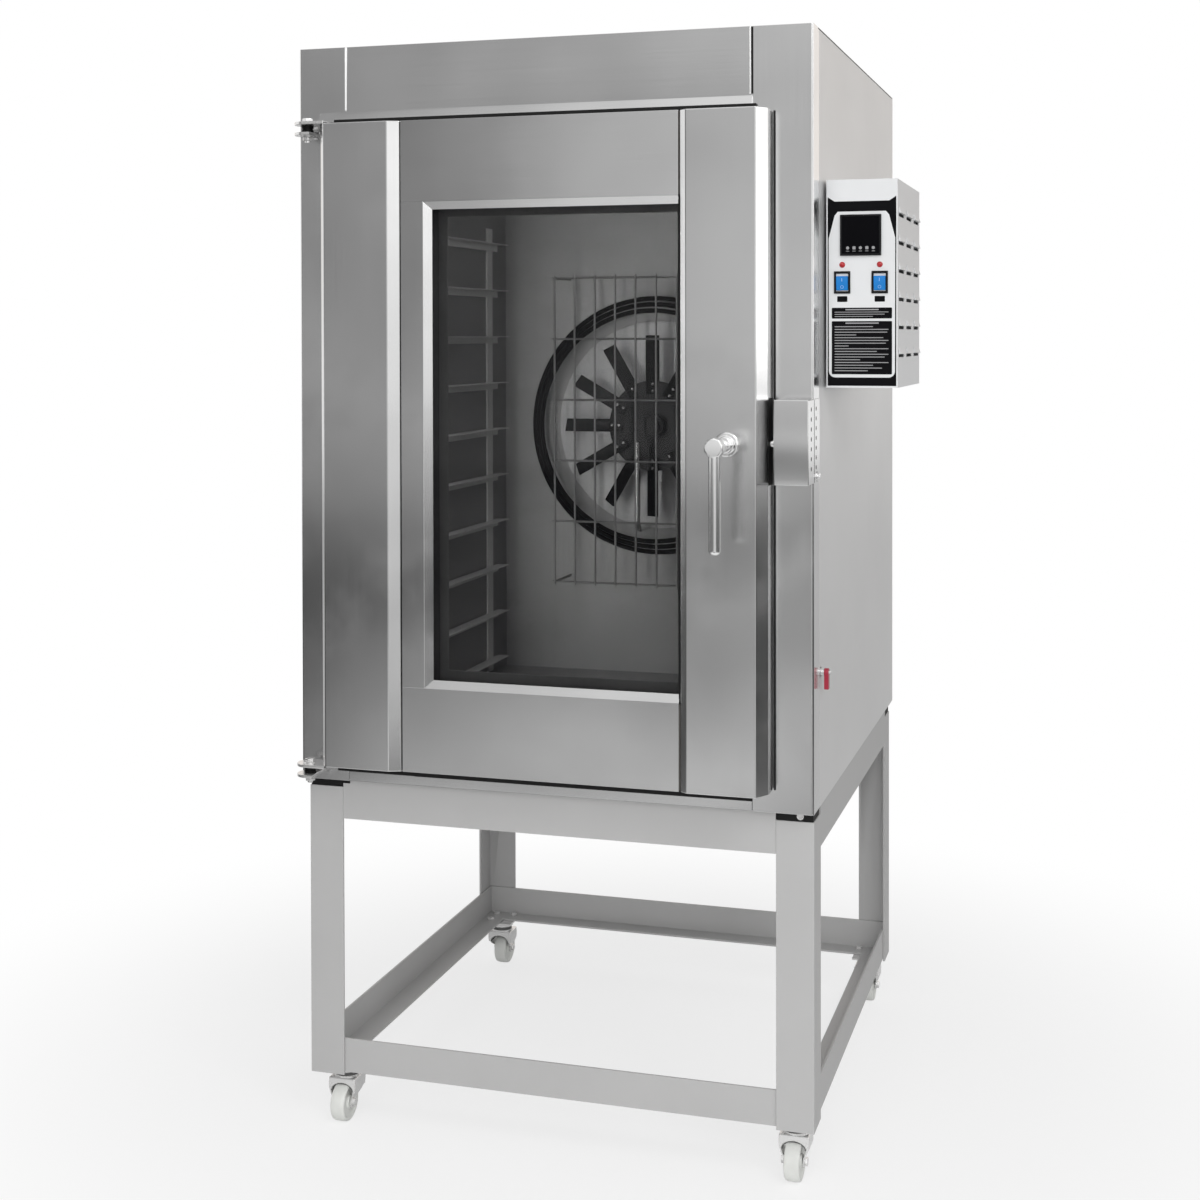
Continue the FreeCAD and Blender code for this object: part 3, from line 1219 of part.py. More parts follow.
def indicator_lamps():
    """Small round lamps with domed lenses."""
    lamps = []
    for sx in SWITCH_X:
        lens = rod((sx, CTRL_Y - LAMP_OUT, LAMP_Z), (sx, CTRL_Y + LAMP_IN, LAMP_Z), LAMP_R)
        rim = [e for e in lens.Edges if len(e.Vertexes) == 1 and e.CenterOfMass.y < CTRL_Y - LAMP_OUT / 2]
        lens = lens.makeFillet(LAMP_ROUND, rim)
        flange = rod((sx, CTRL_Y - LAMP_FLANGE, LAMP_Z), (sx, CTRL_Y, LAMP_Z), LAMP_R + LAMP_FLANGE)
        lamps.append(fused([lens, flange]))
    return lamps


def contactor():
    x = CTRL_X + SHEET
    y = (CTRL_Y + CONTACTOR_Y[0], CTRL_Y + CONTACTOR_Y[1])
    z = (CTRL_Z[0] + CONTACTOR_Z[0], CTRL_Z[0] + CONTACTOR_Z[1])
    return [box((x, x + CONTACTOR_W), y, z)]


def valve_body():
    """Stem through the right side panel, with a nut outside and a lock nut inside."""
    at = (VALVE_Y, VALVE_Z)
    stem = rod((HALF_W - VALVE_IN, *at), (HALF_W + VALVE_OUT, *at), VALVE_STEM_R)
    nut = hexagon((HALF_W, *at), *VALVE_NUT, X_AXIS)
    lock = hexagon((HALF_W - SHEET - VALVE_LOCK_H, *at), VALVE_LOCK_H, VALVE_NUT[1], X_AXIS)
    spigot = rod((HALF_W + VALVE_OUT, *at), (HALF_W + VALVE_TIP, *at), VALVE_SPIGOT_R)
    return [fused([stem, nut, lock, spigot])]


def valve_lever():
    """Red lever hanging from the valve spindle."""
    start = HALF_W + VALVE_OUT + HOLE_FIT
    x = (start, start + VALVE_LEVER_T)
    eye = rod((x[0], VALVE_Y, VALVE_Z), (x[1], VALVE_Y, VALVE_Z), VALVE_EYE_R)
    arm_y = (VALVE_Y - VALVE_LEVER_W / 2, VALVE_Y + VALVE_LEVER_W / 2)
    arm = box(x, arm_y, (VALVE_Z - VALVE_LEVER_L, VALVE_Z))
    bore = rod((x[0] - 1, VALVE_Y, VALVE_Z), (x[1] + 1, VALVE_Y, VALVE_Z), VALVE_SPIGOT_R + RUN_FIT)
    return [fused([eye, arm]).cut(bore)]


def all_nodes():
    """Every node of the oven by name."""
    nodes = {"stand_legs": stand_legs(), "stand_rails": stand_rails(), "stand_bolts": stand_bolts(),
             "caster_plates": caster_plates()}
    corners = ("front_left", "front_right", "rear_left", "rear_right")
    for corner, (x, y) in zip(corners, caster_spots()):
        trail = -CASTER_TRAIL if y < CAB_D / 2 else CASTER_TRAIL
        nodes["caster_fork_" + corner] = caster_fork(x, y, trail)
        nodes["caster_wheel_" + corner] = caster_wheel(x, y, trail)
    makers = (side_panels, top_panel, base_panel, back_panel, left_stile, right_stile, front_header,
              mouth_frame, chamber_liner, chamber_back_wall, insulation, rear_bulkhead, tray_racks,
              fan_motor, motor_shaft, fan_wheel, heater_rings, fan_guard, temperature_probe, steam_pipe,
              exhaust_flue, cable_gland, door_left_pilaster, door_right_pilaster, door_rails,
              door_window_stile, door_glass, door_inner_panel, door_insulation, door_gasket, hinge_leaves,
              hinge_brackets, hinge_bolts, latch_case, latch_bolt, handle_rose, lever_handle, strike_box,
              control_box, control_plate, controller, switch_frames, indicator_lamps, contactor,
              valve_body, valve_lever)
    for maker in makers:
        nodes[maker.__name__] = maker()
    nodes["rocker_left"] = rocker(SWITCH_X[0])
    nodes["rocker_right"] = rocker(SWITCH_X[1])
    return nodes


os.makedirs("parts", exist_ok=True)
for name, solids in all_nodes().items():
    shape = solids[0] if len(solids) == 1 else Part.Compound(solids)
    shape.translate(ROW_SHIFT)
    shape.exportStep("parts/" + name + ".step")
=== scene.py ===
import json
import math

import bpy
from mathutils import Matrix, Vector


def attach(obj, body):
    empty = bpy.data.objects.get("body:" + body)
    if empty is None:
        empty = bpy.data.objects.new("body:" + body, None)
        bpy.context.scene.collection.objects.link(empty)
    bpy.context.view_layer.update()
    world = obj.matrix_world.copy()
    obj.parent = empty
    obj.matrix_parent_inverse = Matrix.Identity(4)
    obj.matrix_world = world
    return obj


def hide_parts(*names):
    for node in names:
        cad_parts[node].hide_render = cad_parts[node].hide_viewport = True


# Looks of a rack convection oven on a wheeled stand.
# Sizes are in millimetres about the cabinet: x from its centre, y from its front plane, z from the floor.

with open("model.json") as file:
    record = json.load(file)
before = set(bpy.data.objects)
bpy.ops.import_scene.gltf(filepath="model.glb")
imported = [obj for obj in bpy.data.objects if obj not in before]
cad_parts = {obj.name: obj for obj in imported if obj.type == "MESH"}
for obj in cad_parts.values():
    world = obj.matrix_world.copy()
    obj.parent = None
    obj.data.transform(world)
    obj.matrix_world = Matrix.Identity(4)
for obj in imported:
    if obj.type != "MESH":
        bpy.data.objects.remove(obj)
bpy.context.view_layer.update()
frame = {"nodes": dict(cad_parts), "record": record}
bpy.ops.object.select_all(action="DESELECT")

NODES = frame["nodes"]
BODIES = frame["record"]["behaviour"]["bodies"]
BODY_OF = {member: body for body, members in BODIES.items() for member in members}

MM = 0.001
SHIFT = Vector((-60.0, -398.75, 0.0))
ORIGIN_X = -SHIFT.x
ORIGIN_Y = -SHIFT.y
WELD = 0.00001
FLAT_ANGLE = 0.4
SMOOTH_ANGLE = 32.0

# Cabinet
HALF_W = 430.0
CAB_D = 905.0
CAB_Z = 590.0
CAB_TOP = 1800.0
HEADER_X = (-345.0, 334.0)
LIP_TOP = 1694.0
SEAM = 1.6
LIP_TRIM = 16.0
SILL_TOP = 606.0

# Door
DOOR_X = (-366.0, 367.0)
DOOR_Z = (626.0, 1669.0)
DOOR_FRONT = -62.0
DOOR_RECESS_Y = -54.0
DOOR_INNER_Y = -5.5
DOOR_BACK_Y = -4.0
PILASTER_END_X = (-247.0, 244.0)
PANEL_X = (-228.0, 234.0)
PILASTER_CHAMFER = 8.0
RIGHT_BEVEL = (14.0, 24.0)
RIGHT_CHAMFER = 7.0
GLASS_X = (-190.0, 233.6)
GLASS_Z = (759.0, 1542.0)
LINING_X = (-181.0, 226.0)
LINING_Z = (768.0, 1533.0)
OUTER_PANE_Y = (-43.4, -38.4)
INNER_PANE_Y = (-9.5, -5.5)
RETAINER_T = 1.6

# Hinges and keeper
PIVOT = (-398.0, -35.0)
HINGE_R = 21.0
HINGE_T = 5.0
HINGE_NUT = 15.0
HINGE_NUT_H = 6.6
WASHER_T = 1.4
BUSH_H = 12.0
LEAF_END_X = (-361.0, -364.0)
SHELF_X = (-400.0, -386.0)
STRIKE_X = (378.5, 431.5)
STRIKE_Y = (-56.0, 44.0)
STRIKE_Z = (1099.0, 1228.0)
STRIKE_BOW = 3.4
PERF_Y = (-30.0, 12.0)
PERF_ROWS = 7
PERF_PITCH = 15.0
PERF_R = 3.4

# Latch bolt and handle
BOLT_Y = -23.0
BOLT_R = 7.6
BOLT_ROOM = 80.0
HANDLE_X = 308.0
HANDLE_Z = 1160.0
HANDLE_Y = -142.0
LEVER_R = 9.0
LEVER_FOOT = 1002.0
SPINDLE_END_Y = -32.0

# Fan
CHAMBER_BACK = 700.0
FAN_Y = 650.0
FAN_Z = 1150.0
FAN_BLADES = 12
BLADE_PITCH = 28.0

# Controls
CTRL_X = 435.0
CTRL_Y = 85.0
CTRL_TOP = 1568.0
INK = 0.12
BARS_X = 13.0
SWITCH_X = (460.0, 518.5)
SWITCH_Z = 1407.5
ROCKER_PIVOT_Y = 92.0
ROCKER_TILT = 8.0
ROCKER_FACE_Y = ROCKER_PIVOT_Y - 11.62
LAMP_Z = 1435.0
DISPLAY_X = 489.0
DISPLAY_Z = 1481.0
DISPLAY_HALF = 32.0
BEZEL_W = 3.0
SCREEN_Y = CTRL_Y - 4.4
KEY_HALF = 2.4
KEY_PITCH = 10.0
VALVE_TUCK = 8.0

# Stand and casters
LEG_TOP = 581.0
LEG_DROP = 8.0
STAND_X = 426.5
STAND_Y = (23.0, 882.0)
IRON = 4.0
ANGLE = 60.0
RAIL_FOOT = 520.0
RAIL_GAP = 0.4
RAIL_LAP = 0.3
LOW_RAIL_Z = (93.0, 150.0)
LOW_FLANGE = 45.0
TOP_FLANGE = 50.0
BOLT_SPREAD = 14.0
CASTER_SPOTS = {"front_left": (-381.0, 67.0), "front_right": (390.0, 67.0),
                "rear_left": (-381.0, 838.0), "rear_right": (390.0, 838.0)}
CASTER_TRAIL = 13.0
WHEEL_R = 31.5
HOOD_HALF = 24.0
HOOD_Z = (51.0, 74.0)
CHEEK_T = 2.4
CHEEK_X = 16.0

# Camera of the photograph
CAMERA_AT = (905.0, -2699.0, 1324.0)
CAMERA_YAW = 16.66
CAMERA_PITCH = -0.82
CAMERA_ROLL = 0.11
CAMERA_LENS = 53.61
CAMERA_SHIFT = (-0.0038, -0.1984)

# Studio
FLOOR_SEEN = 0.88
FLOOR_PALE = 0.95
AMBIENT = 0.5


def at(x, y, z):
    """Point about the cabinet, in millimetres, as a point of the part, in metres."""
    return (Vector((x, y, z)) + SHIFT) * MM


# Shader maths


class Wire:
    """One output of a material's nodes. Sums and products of wires add the Math nodes."""

    def __init__(self, tree, socket):
        self.tree = tree
        self.socket = socket

    def add(self, kind, sockets=None, output=0, **settings):
        """Adds a node: its settings first, then the values or links of its sockets."""
        node = self.tree.nodes.new("ShaderNode" + kind)
        for key, value in settings.items():
            setattr(node, key, value)
        for key, value in (sockets or {}).items():
            if isinstance(value, Wire):
                self.tree.links.new(value.socket, node.inputs[key])
            else:
                node.inputs[key].default_value = value
        return Wire(self.tree, node.outputs[output]) if node.outputs else None

    def maths(self, operation, first, second):
        return self.add("Math", {0: first, 1: second}, operation=operation)

    def __add__(self, other):
        return self.maths("ADD", self, other)

    __radd__ = __add__

    def __sub__(self, other):
        return self.maths("SUBTRACT", self, other)

    def __rsub__(self, other):
        return self.maths("SUBTRACT", other, self)

    def __mul__(self, other):
        return self.maths("MULTIPLY", self, other)

    __rmul__ = __mul__

    def __truediv__(self, other):
        return self.maths("DIVIDE", self, other)

    def __rtruediv__(self, other):
        return self.maths("DIVIDE", other, self)


def new_material(name):
    """Empty material and its Object coordinates."""
    material = bpy.data.materials.new(name)
    material.use_nodes = True
    material.node_tree.nodes.clear()
    coords = Wire(material.node_tree, None).add("TexCoord", output="Object")
    return material, coords


def noise(coords, scale, detail=3.0, rough=0.55, stretch=(1.0, 1.0, 1.0)):
    """Noise on Object coordinates, stretched along the axes with a small scale."""
    spread = coords.add("Mapping", {"Vector": coords, "Scale": stretch})
    sockets = {"Vector": spread, "Scale": scale, "Detail": detail, "Roughness": rough}
    return coords.add("TexNoise", sockets, "Fac")


def along(coords, axis):
    """One coordinate of a place or of a direction."""
    return coords.add("SeparateXYZ", {"Vector": coords}, axis)


def ramp(value, start=0.3, end=0.7):
    """Straight step of a value from start to end."""
    return value.add("MapRange", {"Value": value, "From Min": start, "From Max": end})


def slide(value, start, end, low=0.0, high=1.0):
    """Smooth step of a value from start to end."""
    sockets = {"Value": value, "From Min": start, "From Max": end, "To Min": low, "To Max": high}
    return value.add("MapRange", sockets, interpolation_type="SMOOTHSTEP")


def blend(first, second, factor):
    """Value between two values or value wires."""
    return first + factor * (second - first)


def mix(factor, first, second):
    """Colour between two colours or colour wires."""
    return factor.add("Mix", {0: factor, 6: first, 7: second}, 2, data_type="RGBA")


def bump(height, strength, distance, below=None):
    """Bump from a height, laid over another bump where one is given."""
    sockets = {"Height": height, "Strength": strength, "Distance": distance}
    if below is not None:
        sockets["Normal"] = below
    return height.add("Bump", sockets)


def surface(coords, sockets):
    """Principled shader with these sockets, joined to the output."""
    shader = coords.add("BsdfPrincipled", sockets)
    coords.add("OutputMaterial", {"Surface": shader})


def colour(grey, warm=0.0):
    """Near-grey colour, a little warm or cool."""
    return (grey * (1 + warm), grey, grey * (1 - warm), 1.0)


def brushed_steel(coords, grain, light, dark, rough, metal=1.0, crown=0.0):
    """Stainless sheet with faint lines along the grain, soft clouds and slow waves. A crown bows its top."""
    lines = noise(coords, 1.0, 4.0, 0.7, grain)
    clouds = noise(coords, 2.3, 3.0, 0.5)
    smudges = slide(noise(coords, 9.0, 5.0, 0.62), 0.45, 0.75)
    tone = slide(lines * 0.1 + clouds * 0.9, 0.32, 0.66)
    waves = bump(noise(coords, 2.0, 1.0, 0.4), 0.5, 0.024)
    if crown:
        x = along(coords, "X") - SHIFT.x * MM
        waves = bump(1.0 - x * x * slide(along(coords, "Z"), 1.2, 1.65), 1.0, crown, waves)
    surface(coords, {"Base Color": mix(tone, colour(dark), colour(light)), "Metallic": metal,
                     "Roughness": rough + lines * 0.05 + smudges * 0.05,
                     "Normal": bump(lines, 0.02, 0.0005, waves)})


def plain_metal(coords, light, dark, rough, scale, pit=0.06):
    """Plated or cast metal with soft blotches and a fine tooth."""
    blotch = noise(coords, scale, 4.0, 0.6)
    tooth = noise(coords, scale * 22, 2.0, 0.5)
    base = mix(ramp(blotch), colour(dark), colour(light))
    surface(coords, {"Base Color": base, "Metallic": 1.0, "Roughness": rough + blotch * 0.1,
                     "Normal": bump(tooth, pit, 0.0004)})


def painted(coords, light, dark, warm, rough, peel, metal=0.0):
    """Sprayed paint with orange peel and slight soiling."""
    soil = noise(coords, 4.0, 5.0, 0.6)
    grain = noise(coords, 900.0, 2.0, 0.6)
    skin = noise(coords, 240.0, 2.0, 0.5)
    base = mix(ramp(soil * 0.8 + grain * 0.2, 0.28, 0.62), colour(dark, warm), colour(light, warm))
    surface(coords, {"Base Color": base, "Metallic": metal, "Roughness": rough + soil * 0.08,
                     "Normal": bump(skin, peel, 0.0005)})


def moulded(coords, tint, rough, texture, scale=700.0, coat=0.0, gloss=0.5):
    """Moulded plastic with a fine spark texture."""
    spark = noise(coords, scale, 2.0, 0.5)
    cloud = noise(coords, 14.0, 3.0, 0.5)
    deep = tuple(channel * 0.82 for channel in tint[:3]) + (1.0,)
    base = mix(ramp(cloud), deep, tint)
    surface(coords, {"Base Color": base, "Roughness": rough + spark * 0.08, "Coat Weight": coat,
                     "Specular IOR Level": gloss, "Normal": bump(spark, texture, 0.0003)})


def glass(coords, tint, alpha, rough, gloss):
    """Pane that tints what is behind it, with faint wipe marks."""
    wipes = ramp(noise(coords, 3.0, 4.0, 0.6, (1.0, 1.0, 2.4)), 0.45, 0.8)
    surface(coords, {"Base Color": tint, "Roughness": rough + wipes * 0.05, "Alpha": alpha + wipes * 0.03,
                     "Specular IOR Level": gloss})


def wool_blanket(coords, dark, light):
    """Glass wool with its fibres lying flat."""
    fibre = noise(coords, 60.0, 6.0, 0.7, (1.0, 1.0, 4.0))
    base = mix(fibre, dark, light)
    surface(coords, {"Base Color": base, "Roughness": 0.95, "Normal": bump(fibre, 0.6, 0.004)})


def liner_sheet(coords, light, dark, metal):
    """Chamber sheet: satin steel with a baked haze and a few runs of old steam."""
    haze = noise(coords, 3.4, 5.0, 0.62)
    runs = ramp(noise(coords, 14.0, 3.0, 0.5, (1.0, 1.0, 0.08)), 0.5, 0.75)
    lines = noise(coords, 1.0, 3.0, 0.6, (300.0, 300.0, 3.0))
    base = mix(ramp(haze * 0.7 + lines * 0.3), colour(dark, 0.01), colour(light, 0.0))
    surface(coords, {"Base Color": base, "Metallic": metal, "Roughness": 0.36 + haze * 0.12 + runs * 0.06,
                     "Normal": bump(lines, 0.08, 0.0005)})


def finish(name, make, *values):
    """Named material, made by a function from its values."""
    material, coords = new_material(name)
    make(coords, *values)
    return material


UPRIGHT_GRAIN = (420.0, 420.0, 5.0)
ACROSS_GRAIN = (5.0, 420.0, 420.0)
PANEL_CROWN = 0.15

# Finishes by name: the function that makes each and its values
FINISHES = {
    "steel_upright": (brushed_steel, UPRIGHT_GRAIN, 0.80, 0.66, 0.17),
    "steel_across": (brushed_steel, ACROSS_GRAIN, 0.78, 0.64, 0.18),
    "panel_upright": (brushed_steel, UPRIGHT_GRAIN, 0.80, 0.66, 0.17, 1.0, PANEL_CROWN),
    "panel_across": (brushed_steel, ACROSS_GRAIN, 0.78, 0.64, 0.18, 1.0, PANEL_CROWN),
    "side_sheet": (brushed_steel, UPRIGHT_GRAIN, 0.70, 0.66, 0.4, 0.5),
    "galvanised": (plain_metal, 0.62, 0.53, 0.36, 34.0),
    "liner": (liner_sheet, 0.35, 0.26, 0.6),
    "back_wall": (liner_sheet, 0.42, 0.34, 0.45),
    "fan_plate": (liner_sheet, 0.62, 0.48, 0.3),
    # Liner sheet darkened as painted shade, for the window's lining between the panes
    "liner_painted_shade": (liner_sheet, 0.13, 0.08, 0.5),
    "rack_wire": (liner_sheet, 0.80, 0.68, 0.3),
    "zinc": (painted, 0.86, 0.70, 0.006, 0.14, 0.03, 0.75),
    "fork_zinc": (painted, 0.90, 0.72, 0.004, 0.13, 0.03, 0.72),
    "handle_chrome": (painted, 0.95, 0.90, 0.0, 0.08, 0.0, 0.9),
    "bright_steel": (plain_metal, 0.84, 0.76, 0.07, 12.0, 0.02),
    "guard_wire": (liner_sheet, 0.40, 0.28, 0.6),
    "heater_dark": (plain_metal, 0.03, 0.012, 0.42, 50.0),
    "fan_sheet": (plain_metal, 0.07, 0.03, 0.45, 9.0, 0.0),
    # Dark motor paint, also used for the painted shade in the caster race and under the fork's hood
    "motor_paint_and_painted_shade": (painted, 0.12, 0.08, 0.0, 0.5, 0.3),
    "stand_paint": (painted, 0.485, 0.455, 0.004, 0.42, 0.08, 0.12),
    "box_paint": (painted, 0.70, 0.66, -0.010, 0.36, 0.06),
    "plate_white": (painted, 0.72, 0.69, -0.012, 0.3, 0.03),
    "print_black": (moulded, (0.005, 0.005, 0.006, 1.0), 0.5, 0.02, 700.0, 0.0, 0.06),
    "print_grey": (moulded, (0.36, 0.36, 0.37, 1.0), 0.5, 0.02),
    "black_moulding": (moulded, (0.010, 0.010, 0.011, 1.0), 0.34, 0.12, 700.0, 0.0, 0.16),
    "screen": (moulded, (0.003, 0.003, 0.004, 1.0), 0.12, 0.0, 300.0, 0.0, 0.05),
    "rocker_blue": (moulded, (0.012, 0.22, 0.64, 1.0), 0.2, 0.02, 500.0, 0.1, 0.3),
    "mark_white": (moulded, (0.30, 0.56, 0.92, 1.0), 0.35, 0.02),
    "lens_red": (moulded, (0.50, 0.012, 0.018, 1.0), 0.1, 0.0, 300.0, 0.5),
    "valve_red": (moulded, (0.42, 0.02, 0.05, 1.0), 0.28, 0.05, 600.0, 0.2),
    "nylon": (moulded, (0.80, 0.81, 0.78, 1.0), 0.34, 0.06, 400.0),
    # Black rubber for the door's seal, and the same black for pieces of painted shadow in gaps, slots and
    # holes
    "gasket": (moulded, (0.012, 0.012, 0.012, 1.0), 0.6, 0.3, 500.0, 0.0, 0.2),
    "wool": (wool_blanket, (0.62, 0.52, 0.25, 1.0), (0.86, 0.78, 0.52, 1.0)),
    "door_wool": (wool_blanket, colour(0.05, 0.06), colour(0.12, 0.06)),
    "tinted_glass": (glass, (0.004, 0.004, 0.005, 1.0), 0.27, 0.02, 0.28),
    "clear_glass": (glass, (0.02, 0.022, 0.022, 1.0), 0.05, 0.02, 0.2),
}
MATERIALS = {name: finish(name, *entry) for name, entry in FINISHES.items()}


# Modelling


def linked(name, data):
    """Object with this data, put in the scene."""
    obj = bpy.data.objects.new(name, data)
    bpy.context.scene.collection.objects.link(obj)
    return obj


def pick(obj):
    """Makes obj the only selected object, and the active one."""
    bpy.ops.object.select_all(action="DESELECT")
    obj.select_set(True)
    bpy.context.view_layer.objects.active = obj


def edit_all():
    """Opens the active object for editing, with all of it selected."""
    bpy.ops.object.mode_set(mode="EDIT")
    bpy.ops.mesh.select_all(action="SELECT")


def edit_chosen(obj, kind, test):
    """Opens obj for editing, with only those faces or corners selected that pass a test."""
    pick(obj)
    bpy.ops.object.mode_set(mode="EDIT")
    bpy.ops.mesh.select_mode(type=kind)
    bpy.ops.mesh.select_all(action="DESELECT")
    bpy.ops.object.mode_set(mode="OBJECT")
    for item in obj.data.polygons if kind == "FACE" else obj.data.vertices:
        item.select = test(item)
    bpy.ops.object.mode_set(mode="EDIT")


def edit_end():
    """Closes the object that is open for editing."""
    bpy.ops.object.mode_set(mode="OBJECT")


def modify(obj, kind, **settings):
    """Adds one modifier and applies it."""
    pick(obj)
    modifier = obj.modifiers.new(kind.lower(), kind)
    for key, value in settings.items():
        setattr(modifier, key, value)
    bpy.ops.object.modifier_apply(modifier=modifier.name)


def rounded(obj, width, segments=2, angle=28.0):
    """Rounds the edges that turn by more than an angle."""
    limit = math.radians(angle)
    modify(obj, "BEVEL", width=width * MM, segments=segments, limit_method="ANGLE", angle_limit=limit)
    return obj


def settle(obj):
    """Puts the object's place into its mesh and turns its faces outwards."""
    pick(obj)
    bpy.ops.object.transform_apply(location=True, rotation=True, scale=True)
    edit_all()
    bpy.ops.mesh.normals_make_consistent(inside=False)
    edit_end()
    return obj


def block(x, y, z, width=0.0):
    """Box from three (low, high) pairs, with its edges rounded."""
    low, high = at(x[0], y[0], z[0]), at(x[1], y[1], z[1])
    bpy.ops.mesh.primitive_cube_add(size=1.0, location=(low + high) / 2)
    obj = bpy.context.object
    obj.scale = high - low
    settle(obj)
    return rounded(obj, width) if width else obj


def turned(origin, axis, steps, sides=48):
    """Solid of rings (height, radius) from the foot up, standing on origin along axis."""
    height, radius = steps[0]
    bpy.ops.mesh.primitive_circle_add(vertices=sides, radius=radius * MM, fill_type="NGON",
                                      location=(0, 0, height * MM))
    obj = bpy.context.object
    edit_all()
    for next_height, next_radius in steps[1:]:
        rise = (next_height - height) * MM
        bpy.ops.mesh.extrude_region_move(TRANSFORM_OT_translate={"value": (0, 0, rise)})
        grow = next_radius / radius
        bpy.ops.transform.resize(value=(grow, grow, 1.0), center_override=(0, 0, next_height * MM))
        height, radius = next_height, next_radius
    edit_end()
    turn = Vector((0, 0, 1)).rotation_difference(Vector(axis)).to_matrix().to_4x4()
    obj.matrix_world = Matrix.Translation(at(*origin)) @ turn @ obj.matrix_world
    return settle(obj)


def rod(origin, axis, length, radius, sides=32):
    """Plain round rod, washer or bore."""
    return turned(origin, axis, [(0.0, radius), (length, radius)], sides)


def grown(span, by):
    """Span made longer at both ends, or shorter by a negative length."""
    return span[0] - by, span[1] + by


def around(middle, half):
    """Span about a middle."""
    return middle - half, middle + half


def profile(outline, axis, span):
    """Solid from a flat outline pushed along an axis. The outline's pairs are the other two axes in order."""
    bpy.ops.mesh.primitive_circle_add(vertices=len(outline), radius=0.01, fill_type="NGON")
    obj = bpy.context.object
    for vertex, (a, b) in zip(obj.data.vertices, outline):
        point = {"x": (span[0], a, b), "y": (a, span[0], b), "z": (a, b, span[0])}[axis]
        vertex.co = at(*point)
    travel = {"x": (1, 0, 0), "y": (0, 1, 0), "z": (0, 0, 1)}[axis]
    push = Vector(travel) * (span[1] - span[0]) * MM
    edit_all()
    bpy.ops.mesh.extrude_region_move(TRANSFORM_OT_translate={"value": push})
    edit_end()
    return settle(obj)


def arc(centre, radius, start, end, count):
    """Points of an arc, in degrees."""
    points = []
    for step in range(count + 1):
        turn = math.radians(start + (end - start) * step / count)
        points.append((centre[0] + radius * math.cos(turn), centre[1] + radius * math.sin(turn)))
    return points


def round_rect(x, z, radius, count=6):
    """Outline of a rectangle with round corners."""
    points = []
    corners = ((x[1], z[1], 0), (x[0], z[1], 90), (x[0], z[0], 180), (x[1], z[0], 270))
    for cx, cz, start in corners:
        centre = (cx - radius if cx == x[1] else cx + radius, cz - radius if cz == z[1] else cz + radius)
        points += arc(centre, radius, start, start + 90, count)
    return points


def copied(obj, move=(0, 0, 0), turn=None):
    """Copy with its own mesh, turned about the part's origin and then moved by millimetres."""
    twin = linked(obj.name, obj.data.copy())
    if turn is not None:
        twin.data.transform(turn)
    twin.data.transform(Matrix.Translation(Vector(move) * MM))
    return twin


def about(point, degrees, axis):
    """Turn about an axis through a point of the cabinet."""
    place = Matrix.Translation(at(*point))
    return place @ Matrix.Rotation(math.radians(degrees), 4, axis) @ place.inverted()


def joined(pieces):
    """The pieces as one object."""
    bpy.ops.object.select_all(action="DESELECT")
    for piece in pieces:
        piece.select_set(True)
    bpy.context.view_layer.objects.active = pieces[0]
    bpy.ops.object.join()
    return pieces[0]


def scattered(first, moves):
    """Copies of a piece at each move, as one object. The first is thrown away."""
    copies = [copied(first, move) for move in moves]
    bpy.data.objects.remove(first)
    return joined(copies)


def done(obj, name, body, material, node=None):
    """Names a finished piece, shades it, and lets it ride on its body in place of a CAD node, if any."""
    pick(obj)
    obj.name = name
    obj.data.name = name
    bpy.ops.object.shade_smooth_by_angle(angle=math.radians(SMOOTH_ANGLE))
    modify(obj, "WEIGHTED_NORMAL", keep_sharp=True)
    obj.data.materials.clear()
    obj.data.materials.append(MATERIALS[material])
    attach(obj, body)
    if node:
        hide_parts(node)
    return obj


def softened(node, width, material, segments=2):
    """Copy of a CAD node with its flat faces cleaned and its edges rounded, shown in its place."""
    obj = linked(node + "_skin", NODES[node].data.copy())
    pick(obj)
    edit_all()
    bpy.ops.mesh.remove_doubles(threshold=WELD)
    bpy.ops.mesh.dissolve_limited(angle_limit=math.radians(FLAT_ANGLE))
    edit_end()
    if width:
        rounded(obj, width, segments)
    return done(obj, node + "_skin", BODY_OF[node], material, node)


def pull(obj, test, move):
    """Moves the corners that pass a test of their place about the cabinet, in millimetres."""
    edit_chosen(obj, "VERT", lambda corner: test(corner.co / MM - SHIFT))
    bpy.ops.transform.translate(value=Vector(move) * MM)
    edit_end()


def cut(obj, tool, operation="DIFFERENCE"):
    """Boolean with a tool that is then thrown away."""
    modify(obj, "BOOLEAN", operation=operation, object=tool, solver="EXACT")
    bpy.data.objects.remove(tool)
    return obj


def hexagon(origin, axis, height, flats, width=0.5):
    """Hexagon head or nut with its corners turned down."""
    return rounded(rod(origin, axis, height, flats / math.sqrt(3), 6), width)


# Cabinet


